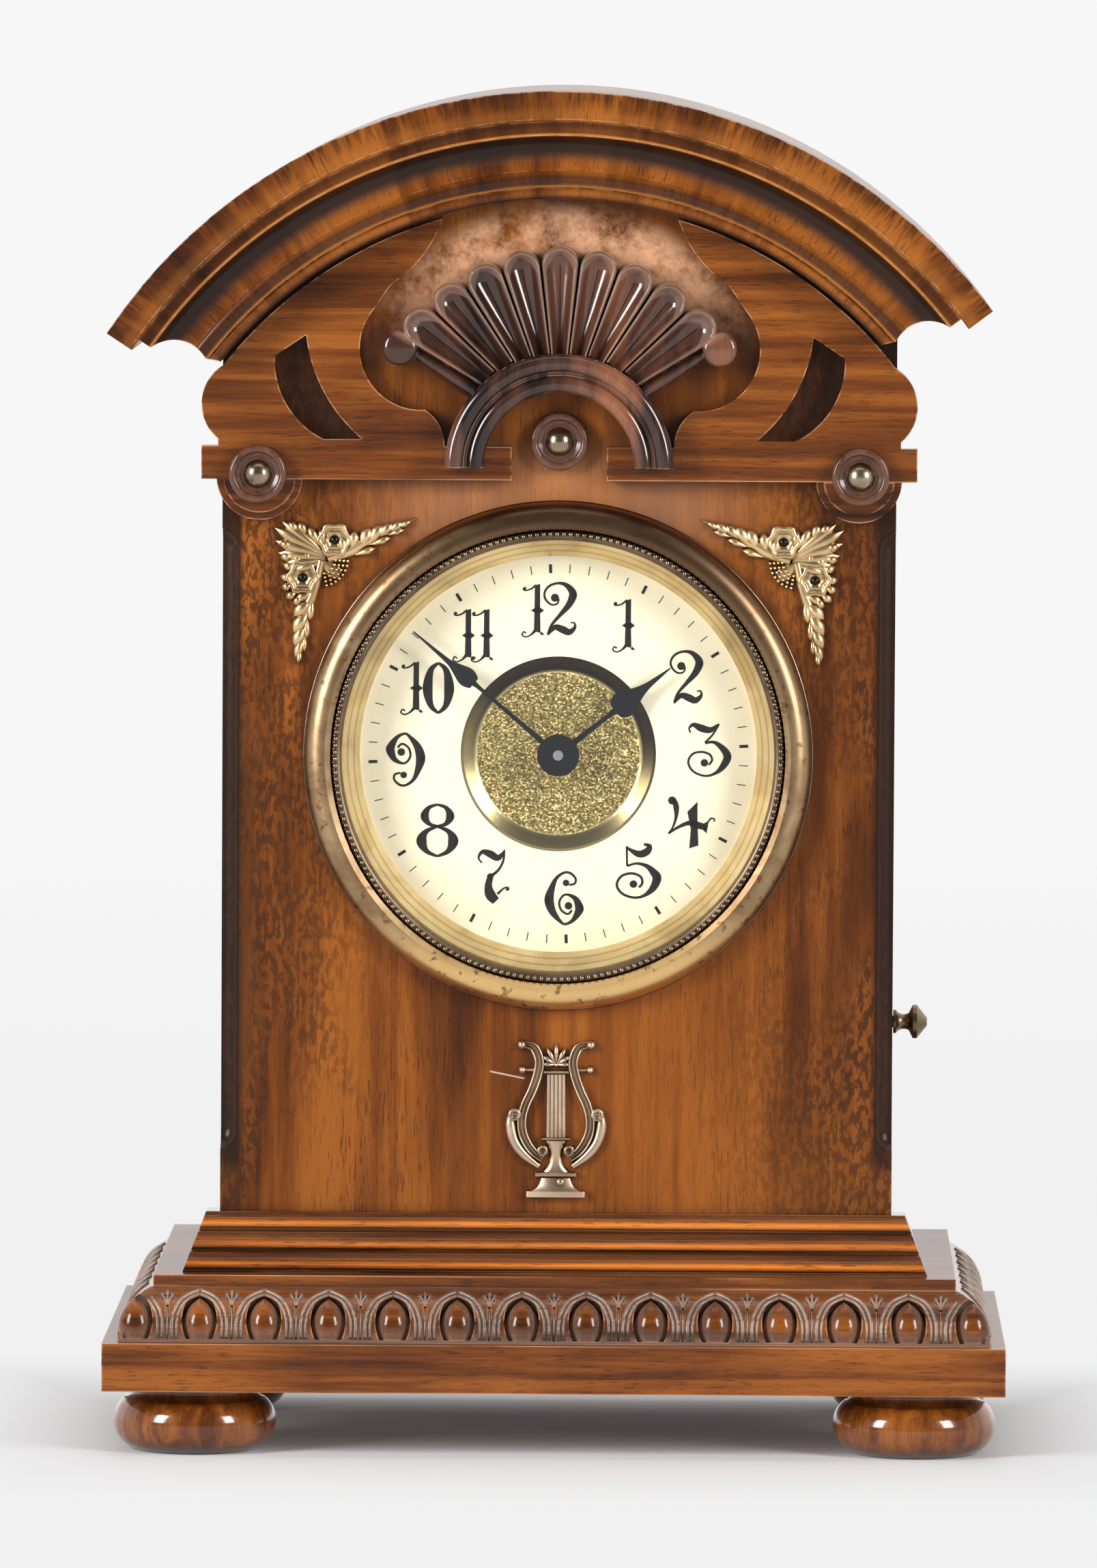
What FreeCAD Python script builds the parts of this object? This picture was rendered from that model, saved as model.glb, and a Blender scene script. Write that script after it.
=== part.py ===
"""Walnut mantel clock with a carved arched top, a spring movement and a cylinder music work.

Millimetres. X runs to the right seen from the front, Y into the depth, Z up.
The origin is on the table, midway across the plinth.
"""
import FreeCAD
import Part
import math
import os

V = FreeCAD.Vector

# Overall case
case_depth = 160.0
plinth_width = 264.6
plinth_height = 14.2
foot_height = 19.4
foot_diameter = 48.0
foot_neck_diameter = 38.7
foot_sole_diameter = 34.0
foot_inset = 2.3
rear_foot_inset = 4.0

# Stepped base
egg_height = 15.4
egg_inset = 4.5
step_inset = 14.5
step_height = 3.4
egg_count = 14
side_egg_count = 7
egg_radius = 5.2
egg_rise = 12.4
egg_seat = 0.9
egg_depth = 5.0
cup_gap = 1.8
dart_width = 0.8
dart_depth = 0.9
reed_height = 17.2
reed_bottom_reach = 10.6
reed_top_reach = 4.0
reed_count = 3

# Body
body_width = 198.0
front_thickness = 8.0
side_thickness = 8.0
front_setback = 33.3
back_setback = 6.0
chamfer_width = 5.2
chamfer_low = 18.4
chamfer_top_gap = 14.7

# Arched top
arch_drop = 43.6
arch_radius = 157.9
arch_half_span = 54.95
arch_turn = 1.75
roof_thickness = 8.8
fillet_radius_inner = 145.0
cove_radius_inner = 129.8
bead_width = 3.5
arch_reach = 26.3
fillet_step = 3.5
cove_step = 9.4
bead_step = 10.9

# Fretwork, fan and rosettes
fret_thickness = 6.0
fret_clearance = 1.2
rail_gap = 6.4
rail_height = 9.8
rail_reach = 105.0
rail_gap_half = 14.0
ring_rise = 3.9
ring_radius_outer = 33.5
ring_radius_inner = 22.1
ring_depth = 15.0
fan_rise = 10.3
fan_gap = 13.6
fan_depth = 10.5
fan_flute_count = 9
fan_flute_pitch = 11.7
fan_ball_radius = 5.5
fan_ball_angle = 64.0
fan_ball_drop = 3.1
petal_slit = 0.3
petal_rim = 0.95
petal_hollow = 2.6
rosette_spread = 88.4
rosette_rise = 1.6
rosette_diameter = 16.9
rosette_depth = 4.5
dome_diameter = 8.5
dome_height = 3.3
centre_rosette_rise = 7.4
corbel_radius = 12.6
corbel_step = 2.3

# Dial and bezel
dial_gap = 8.8
bezel_radius = 74.8
bezel_depth = 7.0
bead_radius_outer = 66.9
sight_radius_outer = 63.6
sight_radius_inner = 58.5
glass_thickness = 1.8
glass_clearance = 0.2
glass_recess = 1.7
dial_plate_radius = 70.0
dial_plate_thickness = 0.8
dish_radius_outer = 28.8
dish_radius_inner = 24.1
dish_depth = 2.5
minute_hand_length = 56.0
hour_hand_length = 41.7
minute_hand_angle = -49.8
hour_hand_angle = 52.0
hand_thickness = 0.5
nut_radius = 6.2

# Gilt mounts
mount_thickness = 1.6
rosette_boss_radius = 3.3
rosette_boss_rise = 1.0
lyre_foot_gap = 4.7
lyre_height = 46.6
lyre_half_width = 15.3
corner_outer = 82.5
corner_gap = 11.2
corner_width = 40.4
corner_size = 43.3

# Movement
plate_thickness = 2.0
plate_width = 106.0
plate_drop = 77.5
plate_rise = 63.5
plate_gap = 33.0
post_spread = 97.0
post_rise = 58.0
post_diameter = 6.0
pillar_diameter = 7.0
motion_room = 11.7
running_clearance = 0.05
arbor_radius = 1.5
motion_distance = 18.0
cannon_teeth = 12
minute_wheel_teeth = 36
minute_pinion_teeth = 10
hour_wheel_teeth = 40
great_wheel_teeth = 72
centre_pinion_teeth = 12
great_module = 0.9
centre_wheel_teeth = 64
third_pinion_teeth = 8
centre_module = 0.75
third_wheel_teeth = 60
escape_pinion_teeth = 8
third_module = 0.6
third_direction = 60.0
escape_direction = 150.0
escape_wheel_radius = 11.0
escape_wheel_teeth = 15
wheel_thickness = 1.5
barrel_drum_radius = 27.0
barrel_drum_length = 14.0
barrel_arbor_radius = 2.5
balance_radius = 15.0
balance_offset_x = -30.0
balance_offset_z = 27.5
key_width = 32.0
key_share = 0.54
set_knob_radius = 9.0

# Music work
bed_thickness = 3.0
music_great_teeth = 60
music_pinion_teeth = 20
music_module = 0.8
cylinder_radius = 14.0
music_rise = 30.6
music_key_length = 22.2
key_clearance = 3.0
governor_wheel_teeth = 48
governor_pinion_teeth = 8
governor_module = 0.6
comb_gap = 0.6
comb_teeth = 36
knob_rise = 71.6
knob_depth = -15.0
knob_radius = 5.0
knob_reach = 10.6
knob_rod_radius = 1.8
knob_travel = 6.0

# Back door
door_thickness = 8.0
door_gap = 0.8
door_low_gap = 1.0
door_top_rise = 57.5
hinge_radius = 2.4
hinge_pin_radius = 1.1
hinge_length = 30.0
hinge_inset = 42.6
leaf_thickness = 1.2
leaf_width = 14.0
button_x = 80.0
button_height = 158.0

# Places worked out from the sizes
plinth_low = foot_height
plinth_high = plinth_low + plinth_height
step_low = plinth_high + egg_height
step_high = step_low + step_height
reed_high = step_high + reed_height
plinth_half = plinth_width / 2
step_half = plinth_half - step_inset
body_half = body_width / 2
base_front = -case_depth / 2
base_back = case_depth / 2
body_front = base_front + front_setback
panel_back = body_front + front_thickness
body_back = base_back - back_setback
door_front = body_back - door_thickness
lyre_low = reed_high + lyre_foot_gap
lyre_top = lyre_low + lyre_height
dial_height = lyre_top + dial_gap + bezel_radius
rail_bottom = dial_height + bezel_radius + rail_gap
rail_top = rail_bottom + rail_height
arch_centre_height = rail_bottom - arch_drop
arch_top = arch_centre_height + arch_radius
arch_radius_inner = cove_radius_inner - bead_width
roof_radius_inner = arch_radius - roof_thickness
fret_front = body_front - fret_thickness
ring_centre_height = rail_bottom + ring_rise
fan_centre_height = ring_centre_height + fan_rise
fan_radius = arch_radius_inner - (fan_centre_height - arch_centre_height) - fan_gap
fan_ball_reach = fan_radius - fan_ball_drop
rosette_height = rail_bottom + rosette_rise
centre_rosette_height = ring_centre_height + centre_rosette_rise
corner_high = rail_bottom - corner_gap
plate_low = dial_height - plate_drop
plate_high = dial_height + plate_rise
knob_height = step_high + knob_rise
door_top = dial_height + door_top_rise
glass_front = body_front - glass_recess
glass_back = glass_front + glass_thickness
far = 2 * plinth_width
centre = V(0, 0, dial_height)
dial_front = panel_back
dish_front = dial_front + dish_depth
front_plate_front = panel_back + motion_room
front_plate_back = front_plate_front + plate_thickness
back_plate_front = front_plate_back + plate_gap
back_plate_back = back_plate_front + plate_thickness


def box(x0, x1, y0, y1, z0, z1):
    """A block between two corners."""
    return Part.makeBox(x1 - x0, y1 - y0, z1 - z0, V(x0, y0, z0))


def rod_y(radius, x, z, y0, y1):
    """A round bar along the depth."""
    return Part.makeCylinder(radius, y1 - y0, V(x, y0, z), V(0, 1, 0))


def rod_x(radius, y, z, x0, x1):
    """A round bar across the width."""
    return Part.makeCylinder(radius, x1 - x0, V(x0, y, z), V(1, 0, 0))


def wire(points, place):
    """A closed outline. A pair of points in the list is an arc through the first to the second."""
    edges = []
    last = place(*points[0])
    for step in list(points[1:]) + [points[0]]:
        if isinstance(step[0], tuple):
            middle = place(*step[0])
            end = place(*step[1])
            edges.append(Part.Arc(last, middle, end).toShape())
        else:
            end = place(*step)
            if end.distanceToPoint(last) < 1e-6:
                continue
            edges.append(Part.LineSegment(last, end).toShape())
        last = end
    return Part.Wire(edges)


def board(points, y0, y1):
    """A flat board cut to an outline seen from the front."""
    face = Part.Face(wire(points, lambda x, z: V(x, y0, z)))
    return face.extrude(V(0, y1 - y0, 0))


def turned_y(points, x, z):
    """A piece turned about an axis along the depth, from radius and depth points."""
    face = Part.Face(wire(points, lambda r, y: V(x + r, y, z)))
    return face.revolve(V(x, 0, z), V(0, 1, 0), 360)


def turned_x(points, y, z):
    """A piece turned about an axis across the width, from radius and width points."""
    face = Part.Face(wire(points, lambda r, x: V(x, y, z + r)))
    return face.revolve(V(0, y, z), V(1, 0, 0), 360)


def mirrored(shape):
    """The same piece on the other side of the clock."""
    return shape.mirror(V(0, 0, 0), V(1, 0, 0))


def fused(shapes):
    """One solid from pieces that run into each other."""
    first, rest = shapes[0], shapes[1:]
    return first.fuse(rest).removeSplitter() if rest else first


def polar(radius, degrees):
    """A point round the arch centre, counted from upright and clockwise seen from the front."""
    angle = math.radians(degrees)
    return radius * math.sin(angle), arch_centre_height + radius * math.cos(angle)


def save(name, shapes):
    """Write one node. Separate solids of a node stay separate."""
    shape = shapes if isinstance(shapes, Part.Shape) else Part.makeCompound(shapes)
    shape.exportStep("parts/" + name + ".step")


def feet():
    """Four bun feet with a hollow neck and a flat sole."""
    widest = foot_diameter / 2
    neck = foot_neck_diameter / 2
    sole = foot_sole_diameter / 2
    bun_top = foot_height * 0.78
    bun_middle = foot_height * 0.40
    points = [(0, 0), (sole, 0), ((widest, bun_middle), (neck + 1.5, bun_top)),
              ((neck - 0.6, bun_top + 2.0), (neck, foot_height)), (0, foot_height)]
    front_y = base_front + foot_inset + widest
    rear_y = base_back - rear_foot_inset - widest
    side_x = plinth_half - foot_inset - widest
    face = Part.Face(wire(points, lambda r, h: V(r, 0, h)))
    foot = face.revolve(V(0, 0, 0), V(0, 0, 1), 360)
    return [foot.translated(V(x, y, 0)) for x in (-side_x, side_x) for y in (front_y, rear_y)]


def egg_profile(reach, inset=0.0):
    """Section of the egg moulding: out from under the step board, down to the plinth."""
    inner = step_inset - egg_inset
    points = [(-reach, 0), (inner, 0), (inner, egg_seat),
              ((inner * 0.72, egg_height * 0.66), (0.6, egg_height)), (-reach, egg_height)]
    return wire(points, lambda o, h: V(0, base_front + step_inset - o + inset, plinth_high + h))


def egg_solid(gap):
    """Pointed egg standing on the plinth, at the origin. The gap makes the cup it sits in."""
    foot = egg_radius - 0.7 + gap
    points = [(0, egg_seat), (foot, egg_seat),
              ((egg_radius + gap - 0.35, 0.48 * egg_rise), (0, egg_rise + gap))]
    face = Part.Face(wire(points, lambda r, h: V(r, 0, plinth_high + h)))
    return face.revolve(V(0, 0, 0), V(0, 0, 1), 360)


def carved(strip, places, darts):
    """Sink a cup and raise an egg at each place, and cut a dart line with a pit above it between them."""
    egg = egg_solid(0.0)
    cup = egg_solid(cup_gap)
    strip = strip.cut([cup.translated(V(*place, 0)) for place in places])
    strip = strip.cut([dart.translated(V(*place, 0)) for dart, place in darts])
    return strip.fuse([egg.translated(V(*place, 0)) for place in places]).removeSplitter()


def egg_mouldings():
    """Front egg moulding with mitred ends and the two side mouldings that meet it."""
    reach = step_inset - dart_depth
    front_line = base_front + step_inset
    corner = V(step_half, front_line, 0)
    row_y = front_line - egg_depth
    row_x = step_half + egg_depth
    pitch = 2 * row_x / (egg_count - 1)
    front = Part.Face(egg_profile(reach)).extrude(V(far, 0, 0)).translated(V(-far / 2, 0, 0))
    right = front.copy()
    slot = box(-dart_width / 2, dart_width / 2, base_front, row_y + egg_depth, plinth_high + egg_seat,
               plinth_high + egg_rise)
    sunk = Part.Face(egg_profile(reach, dart_depth)).extrude(V(far, 0, 0)).translated(V(-far / 2, 0, 0))
    dart = slot.cut(sunk)
    dart = dart.fuse(Part.makeSphere(2 * dart_width, V(0, row_y, plinth_high + egg_rise)))
    dart = dart.translated(V(0, -row_y, 0))
    side_dart = dart.copy()
    side_dart.rotate(V(0, 0, 0), V(0, 0, 1), 90)
    right.rotate(corner, V(0, 0, 1), 90)
    right = right.common(box(0, far, -far, base_back - egg_inset, 0, arch_top))
    mitre = Part.Face(Part.makePolygon([
        corner + V(-far, far, 0), corner + V(far, -far, 0), corner + V(far, far, 0),
        corner + V(-far, far, 0)]))
    beyond = mitre.extrude(V(0, 0, arch_top))
    front = front.cut(beyond).cut(mirrored(beyond))
    right = right.common(beyond)
    places = [(-row_x + pitch * index, row_y) for index in range(egg_count)]
    darts = [(dart, (x + pitch / 2, row_y)) for x, _ in places[:-1]]
    front = carved(front, places, darts)
    side_places = [(row_x, row_y + pitch * (index + 1)) for index in range(side_egg_count)]
    side_darts = [(side_dart, (row_x, y - pitch / 2)) for _, y in side_places]
    corner_cup = egg_solid(cup_gap).translated(V(row_x, row_y, 0))
    right = carved(right, side_places, side_darts).cut(corner_cup)
    return front, mirrored(right), right


def reeded_moulding():
    """Front strip with three reeds, sloping back as it rises, with slanted ends."""
    pitch = reed_height / reed_count
    slope = (reed_bottom_reach - reed_top_reach) / (reed_count - 1)
    points = [(-front_thickness, step_high), (reed_bottom_reach, step_high)]
    reach = reed_bottom_reach
    for index in range(reed_count):
        low = step_high + index * pitch
        points.append((reach, low + 0.8))
        points.append(((reach + 0.9, low + pitch * 0.45), (reach - 0.4, low + pitch * 0.80)))
        points.append((reach - 1.2, low + pitch))
        reach = reed_bottom_reach - slope * (index + 1)
    points.append((-front_thickness, reed_high))
    face = Part.Face(wire(points, lambda o, z: V(-plinth_half, body_front - o, z)))
    strip = face.extrude(V(plinth_width, 0, 0))
    ends = [(-body_half - reed_bottom_reach, step_high), (body_half + reed_bottom_reach, step_high),
            (body_half + reed_top_reach, reed_high), (-body_half - reed_top_reach, reed_high)]
    return strip.common(board(ends, base_front, base_back))


def under_arch():
    """Everything inside the roof board."""
    return rod_y(roof_radius_inner, 0, arch_centre_height, base_front, base_back)


def arched(shape):
    """Cut a board's upper part to the arch."""
    low = shape.common(box(-far, far, base_front, base_back, 0, arch_centre_height))
    high = shape.common(box(-far, far, base_front, base_back, arch_centre_height,
                            arch_top)).common(under_arch())
    return low.fuse(high).removeSplitter()


def front_panel():
    """Front board with the dial opening and stopped hollow chamfers on its edges."""
    panel = arched(box(-body_half, body_half, body_front, panel_back, step_high, arch_top))
    panel = panel.cut(rod_y(bead_radius_outer, 0, dial_height, base_front, base_back))
    panel = panel.cut(reeded_moulding())
    radius = chamfer_width
    low = reed_high + chamfer_low + radius
    high = rail_bottom - chamfer_top_gap - radius
    for x in (-body_half, body_half):
        flute = Part.makeCylinder(radius, high - low, V(x, body_front, low))
        ends = [Part.makeSphere(radius, V(x, body_front, z)) for z in (low, high)]
        panel = panel.cut(flute).cut(ends)
    return panel


def side_panel():
    """Right side board."""
    return arched(box(body_half - side_thickness, body_half, panel_back, body_back, step_high, arch_top))


def upper_back():
    """Fixed board above the back door."""
    half = body_half - side_thickness
    return box(-half, half, door_front, body_back, door_top, arch_top).common(under_arch())


def arch_slice(points):
    """Turn a section round the arch between its two ends."""
    face = Part.Face(wire(points, lambda r, y: V(0, y, arch_centre_height + r)))
    start = V(0, 0, arch_centre_height)
    solid = face.revolve(start, V(0, 1, 0), 2 * arch_half_span)
    solid.rotate(start, V(0, 1, 0), -arch_half_span - arch_turn)
    return solid


def roof_board():
    """Curved roof board behind the arch moulding."""
    return arch_slice([(roof_radius_inner, body_front), (arch_radius, body_front), (arch_radius, body_back),
                       (roof_radius_inner, body_back)])


def end_cut(side):
    """Waste beyond the shaped end of the arch moulding, stepped and hollowed like its section."""
    end_angle = side * arch_half_span - arch_turn

    def place(radius, run):
        x, z = polar(radius, end_angle)
        angle = math.radians(end_angle)
        return x - side * run * math.cos(angle), z + side * run * math.sin(angle)

    outer = -12.0
    hollow_low = place(cove_radius_inner, cove_step)
    hollow_middle = place((fillet_radius_inner + cove_radius_inner) / 2 + 3.0, cove_step - 0.4)
    return board([place(roof_radius_inner, outer), place(roof_radius_inner, fillet_step),
                  place(fillet_radius_inner, fillet_step), (hollow_middle, hollow_low),
                  place(arch_radius_inner, bead_step), place(arch_radius_inner - 6, bead_step),
                  place(arch_radius_inner - 6, outer)], base_front, base_back)


def arch_moulding():
    """Moulding round the arch: fascia, fillet, hollow, roll and bead."""
    face_y = body_front - arch_reach
    points = [(arch_radius_inner, body_front), (arch_radius, body_front), (arch_radius, face_y),
              (roof_radius_inner + 0.6, face_y - 0.0), (roof_radius_inner, face_y + 0.8),
              (roof_radius_inner, face_y + fillet_step), (fillet_radius_inner, face_y + fillet_step),
              ((fillet_radius_inner - 4.3, face_y + cove_step - 0.4),
               (cove_radius_inner + 5.0, face_y + cove_step)),
              ((cove_radius_inner + 2.0, face_y + cove_step - 0.9), (cove_radius_inner,
                                                                     face_y + cove_step + 0.6)),
              (cove_radius_inner, face_y + bead_step),
              ((arch_radius_inner + 1.2, face_y + bead_step - 0.6), (arch_radius_inner,
                                                                     face_y + bead_step + 1.2))]
    solid = arch_slice(points)
    return solid.cut(end_cut(-1)).cut(end_cut(1))


def fret_board():
    """Left fretted board: a rail, an ear at the outer end, a swept inner edge and a curved slot."""
    top = [polar(arch_radius_inner - fret_clearance, angle) for angle in (-52.0, -33.0, -16.0)]

    def up(rise):
        return rail_top + rise

    outline = [(-rail_reach, rail_bottom), (-rail_gap_half, rail_bottom), (-rail_gap_half, rail_top),
               (-33.7, rail_top), ((-35.2, up(6.3)), (-39.5, up(10.8))),
               ((-46.0, up(11.5)), (-51.0, up(14.0))), ((-58.6, up(27.0)), (-54.9, up(39.7))),
               (-49.5, up(47.5)), ((-41.0, up(55.0)), (-35.0, up(65.5))),
               top[2], (top[1], top[0]), (-100.2, up(22.5)), ((-rail_reach, up(12.0)), (-100.2, up(2.0))),
               (-100.2, rail_top), (-rail_reach, rail_top)]
    slot = [(-83.6, up(26.4)), ((-81.0, up(13.8)), (-69.2, up(2.0))), (-57.9, up(2.1)),
            ((-69.0, up(15.5)), (-74.4, up(32.5)))]
    fret = board(outline, fret_front, body_front)
    return fret.cut(board(slot, fret_front - 1, body_front + 1))


def half_ring():
    """Moulded half ring that stands on the two rail ends: outer roll, groove and inner bead."""
    front = body_front - ring_depth
    middle = (ring_radius_outer + ring_radius_inner) / 2
    points = [(ring_radius_inner, body_front), (ring_radius_outer, body_front),
              (ring_radius_outer, front + 3.5),
              ((ring_radius_outer - 2.2, front), (middle + 0.4, front + 3.0)), (middle - 0.6, front + 3.0),
              ((middle - 2.6, front + 1.6), (ring_radius_inner, front + 5.0))]
    face = Part.Face(wire(points, lambda r, y: V(-r, y, ring_centre_height)))
    ring = face.revolve(V(0, 0, ring_centre_height), V(0, 1, 0), 180)
    left = fret_board()
    return ring.cut(left).cut(mirrored(left))


def fan_arm(angle, start, reach, half_start, half_reach, depth, rounded):
    """A tapering arm of the fan, square or round at its end."""
    end = ((0, reach + half_reach), (half_reach, reach)) if rounded else (half_reach, reach)
    points = [(-half_start, start), (-half_reach, reach), end, (half_start, start)]
    face = Part.Face(wire(points, lambda u, v: V(u, body_front - depth, fan_centre_height + v)))
    arm = face.extrude(V(0, depth, 0))
    arm.rotate(V(0, 0, fan_centre_height), V(0, 1, 0), angle)
    return arm


def petal_gouge(angle, start, reach, half_reach):
    """Tapering hollow with a round end, for one petal."""
    half = half_reach - petal_rim
    shift = (half * half - petal_hollow * petal_hollow) / (2 * petal_hollow)
    wide = shift + petal_hollow
    narrow = shift + petal_hollow / 10
    root = V(0, body_front - fan_depth - shift, fan_centre_height)
    turn = wide * math.sin(math.pi / 4)
    points = [(0, start), (narrow, start), (wide, reach), ((turn, reach + turn), (0, reach + wide))]
    face = Part.Face(wire(points, lambda r, v: root + V(r, 0, v)))
    tool = face.revolve(root, V(0, 0, 1), 360)
    tool.rotate(V(0, 0, fan_centre_height), V(0, 1, 0), angle)
    return tool


def fan_boss(side):
    """Round boss with a rounded rim at the end of a side stem."""
    seat = body_front
    front = seat - fan_depth
    x, z = at((0, fan_centre_height), fan_ball_reach, 90 - side * fan_ball_angle)
    rim = 1.5
    inside = fan_ball_radius - rim
    turn = rim * math.sin(math.pi / 4)
    return turned_y([(0, seat), (fan_ball_radius, seat), (fan_ball_radius, front + rim),
                     ((inside + turn, front + rim - turn), (inside, front)), (0, front)], x, z)


def fan_shell():
    """Fan of hollowed petals with round ends, and a round boss on a stem at each side."""
    start = ring_radius_inner - fan_rise
    half_pitch = math.radians(fan_flute_pitch / 2)
    lobe = fan_radius / (1 + math.sin(half_pitch))
    half_start = start * math.sin(half_pitch) - petal_slit / 2
    half_lobe = lobe * math.sin(half_pitch) - petal_slit / 2
    middle = (fan_flute_count - 1) / 2
    angles = [(index - middle) * fan_flute_pitch for index in range(fan_flute_count)]
    pieces = [fan_arm(angle, start, lobe, half_start, half_lobe, fan_depth, True) for angle in angles]
    for side in (-1, 1):
        pieces.append(fan_arm(side * fan_ball_angle, start, fan_ball_reach, half_start, half_lobe * 0.8,
                              fan_depth * 0.8, False))
        pieces.append(fan_boss(side))
    tips = [at((0, fan_centre_height), lobe, 90 - angle) for angle in (-fan_ball_angle, 0, fan_ball_angle)]
    web_front = body_front - fan_depth * 0.65
    web = board([(0, fan_centre_height), tips[0], (tips[1], tips[2])], web_front, body_front)
    left = fret_board()
    fan = web.fuse(pieces)
    fan = fan.common(box(-body_half, body_half, base_front, body_front, rail_top, arch_top))
    fan = fan.cut(rod_y(ring_radius_outer, 0, ring_centre_height, base_front, base_back))
    fan = fan.cut(left).cut(mirrored(left))
    return fan.cut([petal_gouge(angle, start, lobe, half_lobe) for angle in angles]).removeSplitter()


def rosette(x, z, seat):
    """Turned wooden ring with a stepped face."""
    rim = rosette_diameter / 2
    hub = dome_diameter / 2
    front = seat - rosette_depth
    return turned_y([(0, seat), (rim, seat), (rim, front + 1.6),
                     ((rim - 0.8, front + 0.4), (rim - 2.2, front + 1.2)),
                     (hub + 0.6, front + 1.8), (hub, front + 1.8), (0, front + 1.8)], x, z)


def dome(x, z, seat):
    """Brass dome seated in a rosette."""
    base = seat - rosette_depth + 1.8
    half = dome_diameter / 2
    radius = (half * half + dome_height * dome_height) / (2 * dome_height)
    ball = Part.makeSphere(radius, V(x, base - dome_height + radius, z))
    return ball.common(rod_y(half + 1, x, z, base - 2 * dome_height, base))


def rosette_places():
    """Places and seats of the three rosettes."""
    return [(-rosette_spread, rosette_height, fret_front), (rosette_spread, rosette_height, fret_front),
            (0.0, centre_rosette_height, body_front)]


def corbels():
    """Half discs with a stepped rim below the rail ends."""
    inner = corbel_radius - corbel_step
    pieces = []
    for side in (-1, 1):
        x = side * (rosette_spread - 0.4)
        disc = turned_y([(0, body_front), (corbel_radius, body_front), (corbel_radius, fret_front + 2.0),
                         (inner, fret_front + 2.0), (inner, fret_front), (0, fret_front)], x,
                         rail_bottom + 0.5)
        pieces.append(disc.common(box(-far, far, base_front, base_back, 0, rail_bottom)))
    return pieces


def bezel():
    """Rounded brass ring on the front panel."""
    inner = bead_radius_outer
    seat = body_front
    return turned_y([(inner, seat), (bezel_radius, seat), (bezel_radius, seat - 1.2),
                     ((bezel_radius - 2.6, seat - bezel_depth + 1.0), (inner + 1.6, seat - bezel_depth)),
                     (inner, seat - bezel_depth + 1.2)], 0, dial_height)


def bead_ring():
    """Half round ring inside the bezel that carries the row of beads and holds the glass."""
    outer = bead_radius_outer
    inner = sight_radius_outer
    back = glass_front
    middle = (outer + inner) / 2
    return turned_y([(inner, back), (outer, back), (outer, back - 2.4),
                     ((middle, back - 4.0), (inner, back - 2.4))], 0, dial_height)


def glass():
    """Flat glass behind the bead ring."""
    return rod_y(bead_radius_outer - glass_clearance, 0, dial_height, glass_front, glass_back)


def sight_ring():
    """Conical brass ring from the glass down to the dial."""
    front = glass_back
    return turned_y([(sight_radius_outer, front), (bead_radius_outer, front), (bead_radius_outer, dial_front),
                     (sight_radius_inner, dial_front), (sight_radius_inner, dial_front - 1.0)], 0,
                     dial_height)


def dial_plate():
    """Enamelled dial ring fixed behind the front panel."""
    back = dial_front + dial_plate_thickness
    return turned_y([(dish_radius_outer, dial_front), (dial_plate_radius, dial_front),
                     (dial_plate_radius, back),
                     (dish_radius_outer, back)], 0, dial_height)


def dial_dish():
    """Sunk gilt centre with a sloping brass wall."""
    hole = arbor_radius + 2.6
    back = dish_front + dial_plate_thickness
    return turned_y([(hole, dish_front), (dish_radius_inner, dish_front), (dish_radius_outer - 0.8, dial_front),
                     (dish_radius_outer, dial_front), (dish_radius_outer, dial_front + dial_plate_thickness),
                     (dish_radius_inner + 0.8, back), (hole, back)], 0, dial_height)


def hand(length, bulb_reach, bulb_width, hub, bore, angle, front):
    """Spade hand with a thin stem, a pear-shaped bulb and a long fine tip."""
    stem = 0.7
    half = bulb_width / 2
    low = bulb_reach - bulb_width * 1.3
    outline = [(-stem, 0), (-stem, low), ((-half, bulb_reach - 1.0), (-0.55, bulb_reach + bulb_width * 0.9)),
               (-0.3, length), (0.3, length), (0.55, bulb_reach + bulb_width * 0.9),
               ((half, bulb_reach - 1.0), (stem, low)), (stem, 0)]
    flat = board([(x, dial_height + z) if not isinstance(x, tuple) else
                  ((x[0], dial_height + x[1]), (z[0], dial_height + z[1])) for x, z in outline],
                 front, front + hand_thickness)
    shape = flat.fuse(rod_y(hub, 0, dial_height, front, front + hand_thickness)).removeSplitter()
    shape = shape.cut(rod_y(bore, 0, dial_height, front - 1, front + 2))
    shape.rotate(centre, V(0, 1, 0), angle)
    return shape


def corner_mount():
    """Left stamped leaf mount: two leaf sprays meeting at a berry cluster, with two rosettes."""

    def place(u, v):
        return -corner_outer + u * corner_width, corner_high - v * corner_size

    leaf_up = [place(0, 0.20), (place(0.51, 0), place(1, 0.04)), (place(0.75, 0.28), place(0.41, 0.36)),
               place(0.20, 0.38)]
    leaf_down = [place(0, 0.20), place(0.20, 0.38), (place(0.32, 0.55), place(0.26, 0.73)),
                 (place(0.20, 0.87), place(0.17, 1)), (place(0.02, 0.70), place(0.01, 0.43))]
    front = body_front - mount_thickness
    mount = board(leaf_up, front, body_front).fuse(board(leaf_down, front, body_front)).removeSplitter()
    for spot in (place(0.37, 0.17), place(0.14, 0.43)):
        mount = mount.fuse(rod_y(rosette_boss_radius, *spot, front - rosette_boss_rise, body_front))
    return mount.removeSplitter()


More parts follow.
